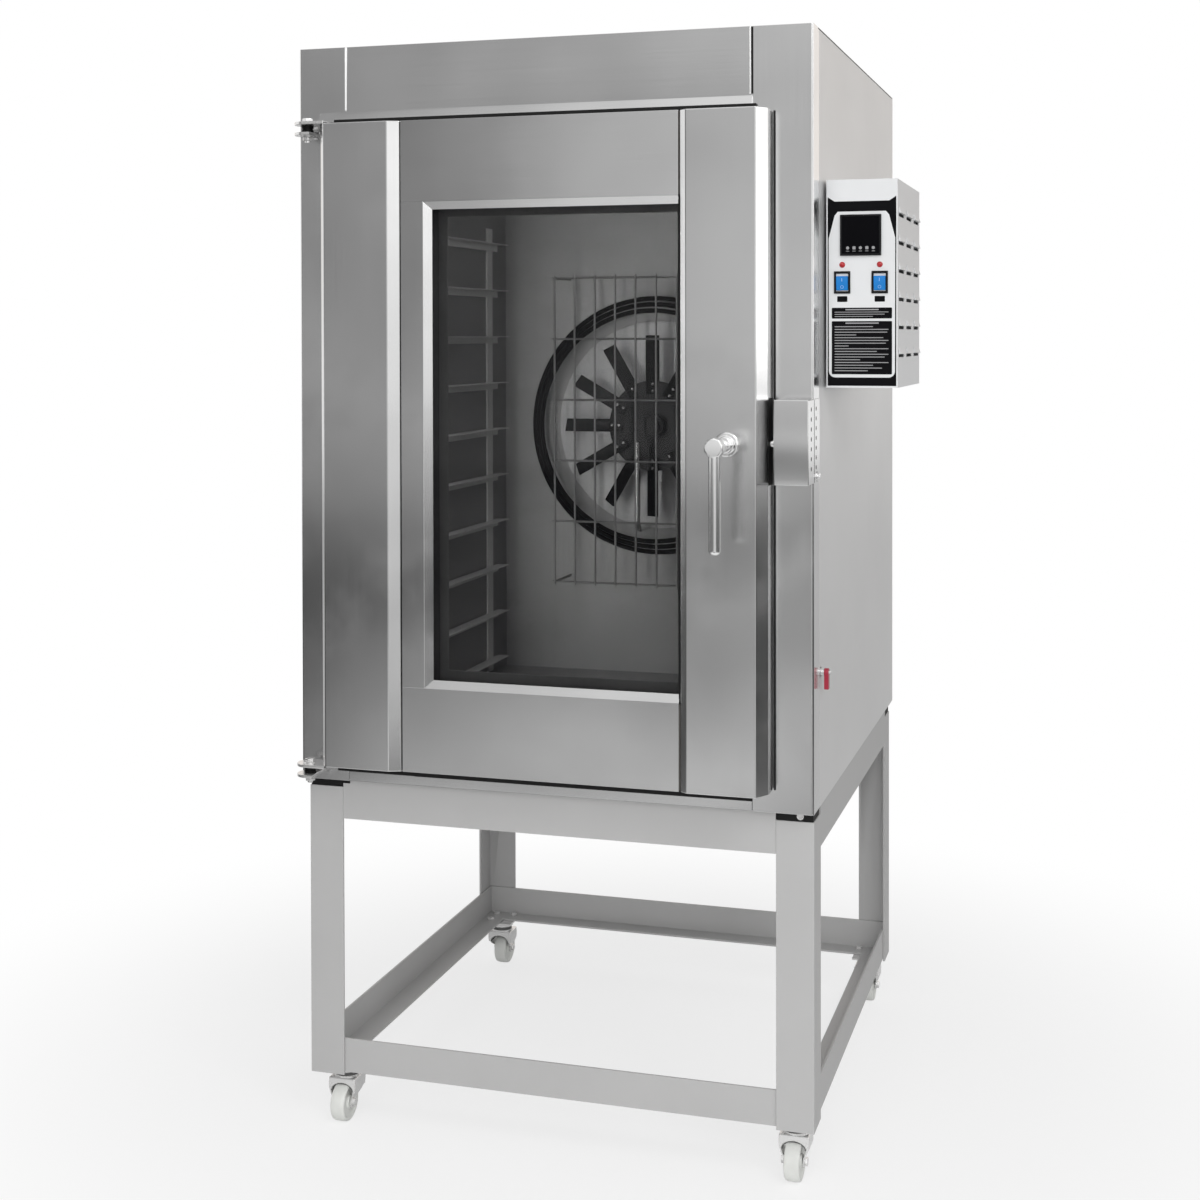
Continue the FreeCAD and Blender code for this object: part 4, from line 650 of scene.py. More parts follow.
def front_seams():
    """Folded edges beside the header, and black strips of painted shadow in the gaps round it and the door.
    """
    z = (LIP_TOP + 2.0, CAB_TOP - 1.0)
    left, right = HEADER_X
    beads = [profile([(left - 2.6, 0.2), (left - 1.9, -1.4), (left + 1.7, 0.6)], "z", z),
             profile([(right - 3.8, 0.2), (right - 3.2, -1.2), (right - 0.8, 0.4)], "z", z)]
    done(joined(beads), "header_folds", "oven", "steel_upright")
    # Painted shadow strips: over the door, under it on the left and right, beside it, at the header's joint
    # and at the top's edge
    shadow_strips = [block((DOOR_X[0] + 2.0, right + 8.0), (-7.6, 0.4), (DOOR_Z[1] + 5.0, DOOR_Z[1] + 11.6), 0.4),
             block((DOOR_X[0] + 2.0, PANEL_X[0]), (-2.0, 1.4), (SILL_TOP + 0.6, DOOR_Z[0] + 2.0), 0.4),
             block((PANEL_X[0], right), (-2.0, 1.4), (SILL_TOP - 0.2, DOOR_Z[0] + 2.0), 0.4),
             block((DOOR_X[1] + 1.4, DOOR_X[1] + 4.0), (-3.0, 0.4), DOOR_Z, 0.4),
             block((right - 0.6, right + 2.6), (-0.3, 0.6), z, 0.1),
             block((HALF_W - 0.3, HALF_W + 0.25), (40.0, CAB_D - 8.0), (CAB_TOP - 2.6, CAB_TOP - 0.9), 0.1)]
    done(joined(shadow_strips), "door_edge_shadow_strips", "oven", "gasket")


def cabinet_skin():
    """Front sheets with their gaps, the sill, and the sides, top and back."""
    for node in ("left_stile", "right_stile"):
        softened(node, 0.65, "steel_upright")
    header = softened("front_header", 0.65, "steel_across")
    pull(header, lambda p: p.x < HEADER_X[0] + 1.0 and p.z > LIP_TOP + 1.0, (SEAM, 0, 0))
    pull(header, lambda p: abs(p.x - HEADER_X[1]) < 1.0 and p.z > LIP_TOP + 1.0, (-SEAM, 0, 0))
    pull(header, lambda p: p.x > HEADER_X[1] + 6.0, (-LIP_TRIM, 0, 0))
    front_seams()
    sill = block((HEADER_X[0] + 0.4, HEADER_X[1] - 0.4), (0.0, 1.5), (CAB_Z + 1.6, SILL_TOP), 0.5)
    done(sill, "front_sill", "oven", "steel_across")
    softened("side_panels", 0.5, "side_sheet")
    softened("top_panel", 0.5, "steel_across")
    softened("back_panel", 0.4, "galvanised")
    softened("mouth_frame", 0.4, "steel_upright")


def pan_screw(origin, axis, radius=4.2):
    """Pan-head screw with a round drive recess."""
    steps = [(0.0, 1.0), (0.45, 1.0), (0.62, 0.86), (0.72, 0.6), (0.74, 0.36), (0.35, 0.3)]
    return turned(origin, axis, [(height * radius, wide * radius) for height, wide in steps], 24)


def rear_screws():
    """Screws round the back panel."""
    pitch = 160
    moves = []
    for z in range(630, 1790, pitch):
        moves += [(x, 0, z) for x in around(0.0, HALF_W - 14)]
    for x in range(-320, 330, pitch):
        moves += [(x, 0, z) for z in grown((CAB_Z, CAB_TOP), -16)]
    screws = scattered(pan_screw((0, CAB_D, 0), (0, 1, 0)), moves)
    done(screws, "rear_screws", "oven", "zinc")


# Door


def door_uprights():
    """Folded pilasters: chamfered outer edge, sloping flank to the window panel, bevel on the latch side."""
    left = [(DOOR_X[0], DOOR_INNER_Y), (DOOR_X[0], DOOR_FRONT + PILASTER_CHAMFER),
            (DOOR_X[0] + PILASTER_CHAMFER, DOOR_FRONT), (PILASTER_END_X[0], DOOR_FRONT),
            (PANEL_X[0], DOOR_RECESS_Y), (PANEL_X[0], DOOR_INNER_Y)]
    obj = rounded(profile(left, "z", DOOR_Z), 1.6, 3, 14.0)
    done(obj, "left_upright", "door", "steel_upright", "door_left_pilaster")
    right = [(PANEL_X[1], DOOR_INNER_Y), (PANEL_X[1], DOOR_FRONT + RIGHT_CHAMFER),
             (PILASTER_END_X[1], DOOR_FRONT), (DOOR_X[1] - RIGHT_BEVEL[0], DOOR_FRONT),
             (DOOR_X[1], DOOR_FRONT + RIGHT_BEVEL[1]), (DOOR_X[1], DOOR_INNER_Y)]
    obj = rounded(profile(right, "z", DOOR_Z), 1.6, 3, 14.0)
    cut(obj, rod((DOOR_X[1] - BOLT_ROOM, BOLT_Y, HANDLE_Z), (1, 0, 0), BOLT_ROOM + 9.0, BOLT_R))
    done(obj, "right_upright", "door", "steel_upright", "door_right_pilaster")


def door_panel():
    """Sheets round the window with gaps beside the pilasters and black strips of painted shadow in them, the
    inner panel and the door's seal.
    """
    rails = softened("door_rails", 0.5, "panel_across")
    stile = softened("door_window_stile", 0.5, "panel_upright")
    for sheet in (rails, stile):
        pull(sheet, lambda p: p.x < PANEL_X[0] + 1.0, (SEAM, 0, 0))
        pull(sheet, lambda p: p.x > PANEL_X[1] - 1.0, (-2 * SEAM, 0, 0))
    # Black strips in the gaps beside the pilasters: painted shadow
    shadow_strips = []
    for x in ((PANEL_X[0], PANEL_X[0] + 2 * SEAM), (PANEL_X[1] - 2.6 * SEAM, PANEL_X[1])):
        shadow_strips.append(block(x, (-50.0, -46.0), grown(DOOR_Z, -2), 0.4))
    done(joined(shadow_strips), "panel_shadow_strips", "door", "gasket")
    softened("door_inner_panel", 0.4, "liner")
    softened("door_gasket", 2.2, "gasket", 3)


def window():
    """Tinted outer pane, open lining behind it darkened as painted shade, and clear inner pane."""
    outer = block(GLASS_X, OUTER_PANE_Y, GLASS_Z, 0.8)
    done(outer, "outer_pane", "door", "tinted_glass", "door_glass")
    lining = block(LINING_X, (OUTER_PANE_Y[1], DOOR_BACK_Y - 1.0), LINING_Z)
    edit_chosen(lining, "FACE", lambda face: abs(face.normal.y) > 0.9)
    bpy.ops.mesh.delete(type="FACE")
    edit_end()
    modify(lining, "SOLIDIFY", thickness=1.2 * MM, offset=1.0)
    # The lining's dark colour is painted shade
    done(lining, "window_lining", "door", "liner_painted_shade")
    inner = block(grown(LINING_X, -0.4), INNER_PANE_Y, grown(LINING_Z, -0.4), 0.8)
    done(inner, "inner_pane", "door", "clear_glass")


def glass_retainer():
    """Flat frame with screws that holds the inner pane, and the screws round the inner panel."""
    outer = block(grown(LINING_X, 16.0), (DOOR_BACK_Y, DOOR_BACK_Y + RETAINER_T), grown(LINING_Z, 16.0))
    cut(outer, block(grown(LINING_X, -3.0), (DOOR_BACK_Y - 9.0, 9.0), grown(LINING_Z, -3.0)))
    done(rounded(outer, 0.5), "glass_retainer", "door", "steel_upright")
    moves = []
    for x in grown(LINING_X, 7.0):
        moves += [(x, RETAINER_T, LINING_Z[0] + 55.0 + 163.0 * step) for step in range(5)]
    for z in grown(LINING_Z, 7.0):
        moves += [(LINING_X[0] + 60.0 + 143.0 * step, RETAINER_T, z) for step in range(3)]
    for x in grown(DOOR_X, -12.0):
        moves += [(x, 0.0, DOOR_Z[0] + 70.0 + 225.0 * step) for step in range(5)]
    screws = scattered(pan_screw((0, DOOR_BACK_Y, 0), (0, 1, 0), 3.2), moves)
    done(screws, "inner_screws", "door", "zinc")


def hinge_plate(foot, reach):
    """Hinge plate round the pivot, reaching sideways towards the door or the stile."""
    y = PIVOT[1]
    outline = arc(PIVOT, HINGE_R, 90, 270, 20) + [(reach, y - HINGE_R), (reach, y + HINGE_R)]
    return rounded(profile(outline, "z", (foot, foot + HINGE_T)), 0.8)


def hinge_bolt(top):
    """Bolt through a leaf and its shelf: washer and head above, washer, nut and thread end below."""
    up, down = (0, 0, 1), (0, 0, -1)
    foot = top - BUSH_H - HINGE_T
    end = foot - WASHER_T - HINGE_NUT_H
    return [rod((*PIVOT, top + HINGE_T), up, WASHER_T, 10.5),
            hexagon((*PIVOT, top + HINGE_T + WASHER_T), up, 5.4, HINGE_NUT, 0.9),
            rod((*PIVOT, foot), down, WASHER_T, 10.0),
            hexagon((*PIVOT, foot - WASHER_T), down, HINGE_NUT_H, HINGE_NUT, 0.9),
            turned((*PIVOT, end), down, [(0.0, 4.6), (2.6, 4.6), (3.4, 3.8)], 24)]


def hinges():
    """Leaves on the door ends, shelves on the stile, and bolts with bushes between them."""
    tops = (DOOR_Z[1], DOOR_Z[0] - HINGE_T)
    leaves = [hinge_plate(top, reach) for top, reach in zip(tops, LEAF_END_X)]
    done(joined(leaves), "leaves", "door", "zinc", "hinge_leaves")
    collar = [(-12.0, 9.0), (-11.2, 10.0), (-8.0, 10.0), (-7.4, 9.0), (-4.6, 9.0), (-4.0, 10.0), (-0.8, 10.0),
              (0.0, 9.0)]
    shelves = []
    bolts = []
    bushes = []
    for top in tops:
        foot = top - BUSH_H - HINGE_T
        shelves.append(hinge_plate(foot, SHELF_X[1]))
        shelves.append(block(SHELF_X, (-16.0, 0.2), (foot, top - 8.0), 1.0))
        bushes.append(turned((*PIVOT, top), (0, 0, 1), collar, 32))
        bolts += hinge_bolt(top)
    done(joined(shelves), "shelves", "oven", "zinc", "hinge_brackets")
    done(joined(bolts), "hinge_pins", "door", "zinc", "hinge_bolts")
    done(joined(bushes), "hinge_bushes", "door", "heater_dark")


def latch():
    """Latch in the door's edge, a black plate on that edge as painted shadow beside the keeper, and the
    keeper.
    """
    softened("latch_case", 0.8, "zinc")
    softened("latch_bolt", 0.4, "bright_steel")
    # Black plate on the door's edge: painted shadow of the gap beside the keeper
    plate = block((DOOR_X[1] - 0.4, DOOR_X[1] + 0.6), (-36.0, -7.0), grown(STRIKE_Z, 2.0), 0.3)
    cut(plate, rod((DOOR_X[1] - 9.0, BOLT_Y, HANDLE_Z), (1, 0, 0), 18.0, BOLT_R))
    done(plate, "latch_edge_shadow", "door", "gasket")
    strike()


def strike():
    """Keeper box on the right stile with a perforated flange round the corner, its holes drawn as black discs
    of painted shade, and its bolt.
    """
    middle, half = (STRIKE_Z[0] + STRIKE_Z[1]) / 2, (STRIKE_Z[1] - STRIKE_Z[0]) / 2
    side = [(-0.2, STRIKE_Z[0]), (-0.2, STRIKE_Z[1])]
    for step in range(13):
        t = 1.0 - step / 6.0
        side.append((STRIKE_Y[0] + STRIKE_BOW * t * t, middle + half * t))
    box = rounded(profile(side, "x", STRIKE_X), 1.5, 3)
    flange = block((STRIKE_X[1] - 1.5, STRIKE_X[1]), (-6.0, STRIKE_Y[1]), grown(STRIKE_Z, -0.3), 0.5)
    # Black discs for the holes: painted shade inside them
    holes = []
    for y in PERF_Y:
        for row in range(PERF_ROWS):
            spot = (STRIKE_X[1] - 2.0, y, STRIKE_Z[0] + 24.0 + PERF_PITCH * row)
            holes.append(rod(spot, (1, 0, 0), 2.08, PERF_R, 20))
    done(joined(holes), "keeper_hole_shades", "oven", "gasket")
    spot = (STRIKE_X[1], 22.0, STRIKE_Z[0] + 9.0)
    bolt = hexagon(spot, (1, 0, 0), 5.0, 10.0, 0.7)
    washer = rod(spot, (1, 0, 0), 1.2, 8.0)
    done(joined([box, flange, bolt, washer]), "keeper_box", "oven", "steel_upright", "strike_box")


def handle():
    """Rose on the door, and the spindle, hub and hanging lever that turn in it."""
    steps = [(0.0, 19.0), (2.6, 19.0), (4.0, 18.2), (4.6, 17.0), (4.6, 14.2), (6.0, 13.0), (17.0, 12.6),
             (19.2, 12.0), (20.0, 10.8)]
    rose = turned((HANDLE_X, DOOR_FRONT, HANDLE_Z), (0, -1, 0), steps, 64)
    done(rose, "rose", "door", "handle_chrome", "handle_rose")
    spindle = rod((HANDLE_X, HANDLE_Y, HANDLE_Z), (0, 1, 0), SPINDLE_END_Y - HANDLE_Y, LEVER_R, 48)
    hub_steps = [(0.0, 13.0), (1.0, 14.4), (2.6, 15.0), (18.4, 15.0), (20.0, 14.4), (21.0, 13.0)]
    hub = rounded(turned((HANDLE_X, HANDLE_Y - 10.5, HANDLE_Z), (0, 1, 0), hub_steps, 10), 0.8)
    length = HANDLE_Z - LEVER_FOOT
    tip = [(0.0, 3.0), (0.6, 5.4), (2.2, 7.6), (4.6, 8.8), (7.2, LEVER_R), (length, LEVER_R)]
    lever = turned((HANDLE_X, HANDLE_Y, LEVER_FOOT), (0, 0, 1), tip, 48)
    done(joined([lever, spindle, hub]), "lever", "lever", "handle_chrome", "lever_handle")


# Chamber


def chamber():
    """Racks, fan and heaters with their edges softened."""
    softened("tray_racks", 0.3, "rack_wire")
    softened("fan_guard", 0.0, "guard_wire")
    softened("heater_rings", 0.0, "heater_dark")
    softened("fan_wheel", 0.4, "fan_sheet")
    softened("temperature_probe", 0.4, "bright_steel")
    softened("steam_pipe", 0.3, "steel_upright")


def fan_plate():
    """Bright plate on the back wall behind the fan."""
    rim = [(0.0, 204.0), (1.6, 204.0), (2.2, 203.2), (2.2, 190.0), (3.4, 186.0), (3.4, 40.0), (2.0, 38.0)]
    plate = turned((0.0, CHAMBER_BACK - 0.2, FAN_Z), (0, -1, 0), rim, 96)
    cut(plate, rod((0.0, CHAMBER_BACK - 20.0, FAN_Z), (0, 1, 0), 40.0, 26.0, 48))
    done(plate, "fan_plate", "oven", "fan_plate")


def fan_rivets():
    """Two rivets that hold each blade to the disc."""
    dome = [(0.0, 3.4), (0.9, 3.2), (1.7, 2.5), (2.2, 1.4), (2.4, 0.5)]
    rivet_radii = (68.0, 82.0)
    first = []
    for radius in rivet_radii:
        rivet = turned((0.0, FAN_Y - 1.0, FAN_Z + radius), (0, -1, 0), dome, 16)
        rivet.data.transform(about((0.0, FAN_Y, FAN_Z), BLADE_PITCH, "Z"))
        first.append(rivet)
    pattern = joined(first)
    rivets = [pattern]
    for index in range(1, FAN_BLADES):
        rivets.append(copied(pattern, turn=about((0.0, FAN_Y, FAN_Z), 360.0 / FAN_BLADES * index, "Y")))
    done(joined(rivets), "fan_rivets", "fan", "zinc")


# Controls


def control_box():
    """Box, plate and switch frames with their edges softened."""
    softened("control_box", 0.5, "box_paint")
    softened("control_plate", 0.5, "plate_white")
    softened("switch_frames", 0.7, "black_moulding")


def panel_field(outline, layer):
    """Flat print from corners measured from the plate's left edge and top. Layers lie on each other."""
    corners = [(CTRL_X + x, CTRL_TOP - drop) for x, drop in outline]
    return profile(corners, "y", (CTRL_Y - INK * layer, CTRL_Y))


def panel_bar(x, drop, layer, radius=1.5):
    """Flat printed bar with round corners, measured in the same way."""
    return panel_field(round_rect(x, drop, radius), layer)


def panel_print():
    """Plain printed fields: dark ground, white field with cut corners, two dark blocks with plain bars."""
    ground = panel_field([(2, 27), (13, 34), (98, 34), (109, 27), (109, 322), (2, 322)], 1)
    done(ground, "print_ground", "oven", "print_black")
    foot = arc((97, 299), 10, 0, 90, 6) + arc((14, 299), 10, 90, 180, 6)
    field = panel_field([(13, 56), (18, 50), (93, 50), (98, 56), (107.4, 92)] + foot + [(3.6, 92)], 2)
    done(field, "print_field", "oven", "plate_white")
    blocks = [panel_bar((8.5, 102.5), (200, 217), 3), panel_bar((8.5, 102.5), (221, 304), 3)]
    for x in SWITCH_X:
        blocks.append(panel_bar(around(x - CTRL_X, 8), (182, 191), 3, 1.0))
    done(joined(blocks), "print_blocks", "oven", "print_black")
    bars = [panel_bar((30, 82), (202.2, 204.0), 4, 0.8), panel_bar((30, 82), (223.2, 225.2), 4, 0.9)]
    for row, length in enumerate((84, 78, 60)):
        top = 206.4 + 3.4 * row
        bars.append(panel_bar((BARS_X, BARS_X + length), (top, top + 1.0), 4, 0.4))
    lengths = (60, 84, 82, 34, 76, 84, 80, 22, 84, 66, 84, 78, 40, 84, 60, 74, 52)
    for row, length in enumerate(lengths):
        top = 229.0 + 4.3 * row
        bars.append(panel_bar((BARS_X, BARS_X + length), (top, top + 1.3), 4, 0.5))
    done(joined(bars), "print_bars", "oven", "print_grey")


def controller():
    """Square bezel with a sunk screen and five plain touch marks."""
    x = around(DISPLAY_X, DISPLAY_HALF)
    z = around(DISPLAY_Z, DISPLAY_HALF)
    bezel = block(x, (CTRL_Y - 5.0, CTRL_Y - 0.2), z)
    edit_chosen(bezel, "FACE", lambda face: face.normal.y < -0.9)
    bpy.ops.mesh.inset(thickness=BEZEL_W * MM)
    bpy.ops.mesh.extrude_region_move(TRANSFORM_OT_translate={"value": (0, 1.4 * MM, 0)})
    edit_end()
    done(rounded(bezel, 0.9, 3), "controller_bezel", "oven", "black_moulding", "controller")
    inside = -BEZEL_W - 0.2
    screen = block(grown(x, inside), (SCREEN_Y, SCREEN_Y + 1.4), grown(z, inside), 0.3)
    done(screen, "controller_screen", "oven", "screen")
    marks = []
    key_y = (SCREEN_Y - 0.15, SCREEN_Y)
    key_z = DISPLAY_Z - 20.0
    for index in range(5):
        middle = DISPLAY_X + KEY_PITCH * (index - 2)
        key_x = around(middle, KEY_HALF)
        key = round_rect(key_x, around(key_z, KEY_HALF), 1.0 if index % 2 else KEY_HALF - 0.01)
        marks.append(profile(key, "y", key_y))
        marks.append(block(key_x, key_y, (key_z - 5.4, key_z - 4.6)))
    done(joined(marks), "controller_marks", "oven", "print_grey")


def rockers():
    """Rocker paddles with a bar on the upper half and a ring on the lower half."""
    y = ROCKER_FACE_Y
    for side, x in zip(("left", "right"), SWITCH_X):
        node = "rocker_" + side
        softened(node, 1.0, "rocker_blue", 3)
        bar = block(around(x, 0.5), (y - 0.25, y + 0.2), (SWITCH_Z + 3.2, SWITCH_Z + 8.2), 0.1)
        bpy.ops.mesh.primitive_torus_add(major_radius=2.2 * MM, minor_radius=0.4 * MM,
                                         major_segments=32, minor_segments=8,
                                         location=at(x, y, SWITCH_Z - 5.6), rotation=(math.pi / 2, 0, 0))
        ring = settle(bpy.context.object)
        marks = joined([bar, ring])
        marks.data.transform(about((x, ROCKER_PIVOT_Y, SWITCH_Z), ROCKER_TILT, "X"))
        done(marks, node + "_marks", node, "mark_white")


def lamps():
    """Red domes over the switches."""
    dome = [(0.0, 4.6), (0.8, 4.6), (1.0, 3.7), (2.2, 3.5), (3.2, 2.7), (3.8, 1.6), (4.0, 0.4)]
    lenses = [turned((x, CTRL_Y, LAMP_Z), (0, -1, 0), dome, 32) for x in SWITCH_X]
    done(joined(lenses), "lamp_lenses", "oven", "lens_red", "indicator_lamps")


def steam_valve():
    """Valve and lever set back towards the side panel."""
    body = softened("valve_body", 0.5, "bright_steel")
    pull(body, lambda p: p.x > HALF_W + 3.0, (-VALVE_TUCK, 0, 0))
    lever = softened("valve_lever", 1.4, "valve_red", 3)
    pull(lever, lambda p: True, (-VALVE_TUCK, 0, 0))


# Stand


def angle_iron(outline, axis, span):
    """Rolled angle with slightly rounded edges."""
    return rounded(profile(outline, axis, span), 0.9)


def rail_pair(edge, way, axis, top_span, low_span, lap=0.0):
    """Upper and lower angle of one side, from its outer edge inwards: flange on top, and flange below."""
    top = CAB_Z - RAIL_GAP
    foot, head = LOW_RAIL_Z
    face, step = edge + way * IRON, edge + way * 2 * IRON
    shelf, ledge = edge + way * TOP_FLANGE, edge + way * (IRON + LOW_FLANGE)
    under, over = CAB_Z - IRON, foot + IRON - lap
    upper = [(edge, RAIL_FOOT), (edge, top), (shelf, top), (shelf, under), (face, under), (face, RAIL_FOOT)]
    lower = [(face, foot), (face, head), (step, head), (step, over), (ledge, over), (ledge, foot + lap)]
    return [angle_iron(upper, axis, top_span), angle_iron(lower, axis, low_span)]


def stand_rails():
    """Angles between the legs, on all four sides."""
    across = around(0.0, STAND_X)
    rails = []
    for y, way in zip(STAND_Y, (1, -1)):
        rails += rail_pair(y, way, "x", grown(across, -ANGLE), grown(across, -IRON))
    for x, way in zip(across, (1, -1)):
        rails += rail_pair(x, way, "y", grown(STAND_Y, -ANGLE), grown(STAND_Y, -2 * IRON), RAIL_LAP)
    done(joined(rails), "rails", "oven", "stand_paint", "stand_rails")


def stand_shade_pads():
    """Black blocks of painted shade between the leg tops and the cabinet, and the bolt head on one of them.
    """
    shade_pads = []
    end = STAND_X - ANGLE
    low = LEG_TOP - LEG_DROP
    for side in (-1, 1):
        across = sorted((side * (STAND_X - 1.5), side * (end + 0.6)))
        for y in ((STAND_Y[0] + 1.6, STAND_Y[0] + 50.0), (STAND_Y[1] - 50.0, STAND_Y[1] - 1.6)):
            # Black blocks in the gaps over the legs: painted shade
            shade_pads.append(block(across, y, (low - 0.2, CAB_Z - 0.2), 0.6))
        cap = sorted((side * (end - 0.2), side * (end + 1.2)))
        shade_pads.append(block(cap, (STAND_Y[0] + 0.2, STAND_Y[0] + 8.0), (low + 1.0, CAB_Z - 0.6), 0.2))
    # Black strip at the front of the left leg's top: painted shadow
    seam = (-end - 0.4, -end + 13.0)
    shade_pads.append(block(seam, (STAND_Y[0] - 0.3, STAND_Y[0] + 2.0), (LEG_TOP - 1.5, CAB_Z - 0.8), 0.2))
    head = (end + 38.0, STAND_Y[0] + 2.0, low + 8.0)
    heads = [hexagon(head, (0, -1, 0), 2.6, 8.0, 0.5), rod(head, (0, -1, 0), 1.0, 5.6, 24)]
    done(joined(shade_pads), "leg_shade_pads", "oven", "gasket")
    done(joined(heads), "pad_bolts", "oven", "zinc")


def stand():
    """Black blocks of painted shade, legs, rails, bolts and caster plates."""
    stand_shade_pads()
    legs = softened("stand_legs", 0.6, "stand_paint")
    pull(legs, lambda p: p.z > LEG_TOP - 1.0, (0, 0, -LEG_DROP))
    stand_rails()
    bolts = softened("stand_bolts", 0.5, "zinc")
    for side in (-1, 1):
        pull(bolts, lambda p, side=side: p.x * side > 0 and p.z > RAIL_FOOT, (side * BOLT_SPREAD, 0, 0))
    softened("caster_plates", 0.6, "zinc")


def caster_wheel_blank():
    """Nylon wheel on the part's origin, axle along x: crowned tread, dished sides, raised hub."""
    half = [(13.2, 9.4), (12.6, 10.6), (9.6, 11.4), (9.2, 13.0), (9.2, 22.0), (10.2, 24.6), (12.2, 26.4),
            (12.5, 28.4), (11.4, 30.2), (8.6, 31.2), (4.0, WHEEL_R)]
    steps = [(-h, r) for h, r in half] + [(h, r) for h, r in half[::-1]]
    return turned((ORIGIN_X, ORIGIN_Y, 0.0), (1, 0, 0), steps, 64)


def hood_arch(wide, foot, high):
    """Half oval over the wheel, from its right foot to its left foot."""
    turns = [math.radians(degrees) for degrees in range(0, 181, 12)]
    return [(ORIGIN_X + wide * math.cos(t), foot + high * math.sin(t)) for t in turns]


def fork_cheek(side):
    """Flared cheek with a round lower end, and the washer and bolt head on it."""
    eye = (ORIGIN_Y - CASTER_TRAIL, WHEEL_R)
    outer = [(24.0, 66.0), (23.6, 56.0), (20.6, 46.0), (17.2, 39.0), (CHEEK_X, 30.0), (CHEEK_X, 20.0)]
    inner = [(x - CHEEK_T, z) for x, z in outer[::-1]]
    flare = [(ORIGIN_X + side * x, z) for x, z in outer + inner]
    edge = [(ORIGIN_Y + y, z) for y, z in ((21.0, 66.0), (20.6, 56.0), (13.0, 46.0))]
    edge += arc(eye, 9.5, 20, -200, 18) + [(ORIGIN_Y - 23.2, 46.0), (ORIGIN_Y - 23.0, 66.0)]
    cheek = profile(flare, "y", around(ORIGIN_Y, 40.0))
    cut(cheek, profile(edge, "x", around(ORIGIN_X, 40.0)), "INTERSECT")
    start = ORIGIN_X + side * CHEEK_X
    washer = rod((start, *eye), (side, 0, 0), 0.9, 7.4)
    return [cheek, washer, hexagon((start + side * 0.9, *eye), (side, 0, 0), 4.1, 12.0)]


def caster_fork_blank():
    """Pressed fork about the swivel axis, trail towards -y: hood with arched ends, flared cheeks and race."""
    foot, head = HOOD_Z
    left, right = around(ORIGIN_X, HOOD_HALF)
    hood = [(left, foot), (left, head), (right, head), (right, foot)] + hood_arch(19.0, foot, 13.5)
    pieces = [rounded(profile(hood, "y", (ORIGIN_Y - 23.0, ORIGIN_Y + 21.0)), 2.4, 3, 40.0)]
    for side in (-1, 1):
        pieces += fork_cheek(side)
    race = [(73.0, 20.0), (73.6, 21.4), (75.6, 21.4), (76.4, 20.4), (76.6, 16.0), (82.0, 16.0), (82.2, 20.6),
            (83.0, 22.0), (88.6, 22.0), (89.6, 21.0)]
    pieces.append(turned((ORIGIN_X, ORIGIN_Y, 0.0), (0, 0, 1), race, 48))
    return joined(pieces)


def caster_shade_blank():
    """Dark ring over the groove of the swivel race and a dark lining under the hood's arch, both painted
    shade.
    """
    rings = [(76.2, 18.4), (77.2, 19.4), (81.4, 19.4), (82.4, 18.4)]
    groove = turned((ORIGIN_X, ORIGIN_Y, 0.0), (0, 0, 1), rings, 48)
    lining = hood_arch(18.9, 51.2, 13.4) + hood_arch(17.7, 51.2, 12.2)[::-1]
    return joined([groove, profile(lining, "y", (ORIGIN_Y - 21.6, ORIGIN_Y + 19.6))])


def casters():
    """Four casters from one wheel, one fork and one piece of painted shade for the race and hood. The rear
    pair trails the other way.
    """
    wheel = caster_wheel_blank()
    fork = caster_fork_blank()
    dark = caster_shade_blank()
    for corner, (x, y) in CASTER_SPOTS.items():
        front = y < CAB_D / 2
        spot = at(x, y, 0.0)
        turn = None if front else Matrix.Rotation(math.pi, 4, "Z")
        twin = copied(fork, spot / MM, turn)
        done(twin, "fork_" + corner, "caster_" + corner, "fork_zinc", "caster_fork_" + corner)
        # Painted shade in the race and under the hood
        done(copied(dark, spot / MM, turn), "race_shade_" + corner, "caster_" + corner, "motor_paint_and_painted_shade")
        trail = -CASTER_TRAIL if front else CASTER_TRAIL
        roll = copied(wheel, at(x, y + trail, WHEEL_R) / MM)
        done(roll, "wheel_" + corner, "wheel_" + corner, "nylon", "caster_wheel_" + corner)
    for blank in (wheel, fork, dark):
        bpy.data.objects.remove(blank)


# Back


def services():
    """Flue and cable gland."""
    softened("exhaust_flue", 0.4, "galvanised")
    softened("cable_gland", 0.6, "black_moulding")


def plain_nodes():
    """Materials for the CAD nodes that stay as they are."""
    finishes = {"base_panel": "galvanised", "chamber_liner": "liner", "chamber_back_wall": "back_wall",
                "insulation": "wool", "rear_bulkhead": "galvanised", "fan_motor": "motor_paint_and_painted_shade",
                "motor_shaft": "bright_steel", "door_insulation": "door_wool", "contactor": "black_moulding"}
    for node, name in finishes.items():
        mesh = NODES[node].data
        mesh.materials.clear()
        mesh.materials.append(MATERIALS[name])


# Studio


def camera():
    """Camera of the photograph, from its place, turn, lens and shift."""
    data = bpy.data.cameras.new("photo_camera")
    data.sensor_fit = "HORIZONTAL"
    data.sensor_width = 36.0
    data.lens = CAMERA_LENS
    data.shift_x, data.shift_y = CAMERA_SHIFT
    data.clip_end = 60.0
    obj = linked("photo_camera", data)
    turn = Matrix.Rotation(math.radians(CAMERA_YAW), 4, "Z")
    turn = turn @ Matrix.Rotation(math.radians(CAMERA_PITCH), 4, "X")
    turn = turn @ Matrix.Rotation(math.radians(CAMERA_ROLL), 4, "Y")
    obj.matrix_world = Matrix.Translation(at(*CAMERA_AT)) @ turn @ Matrix.Rotation(math.pi / 2, 4, "X")
    bpy.context.scene.camera = obj


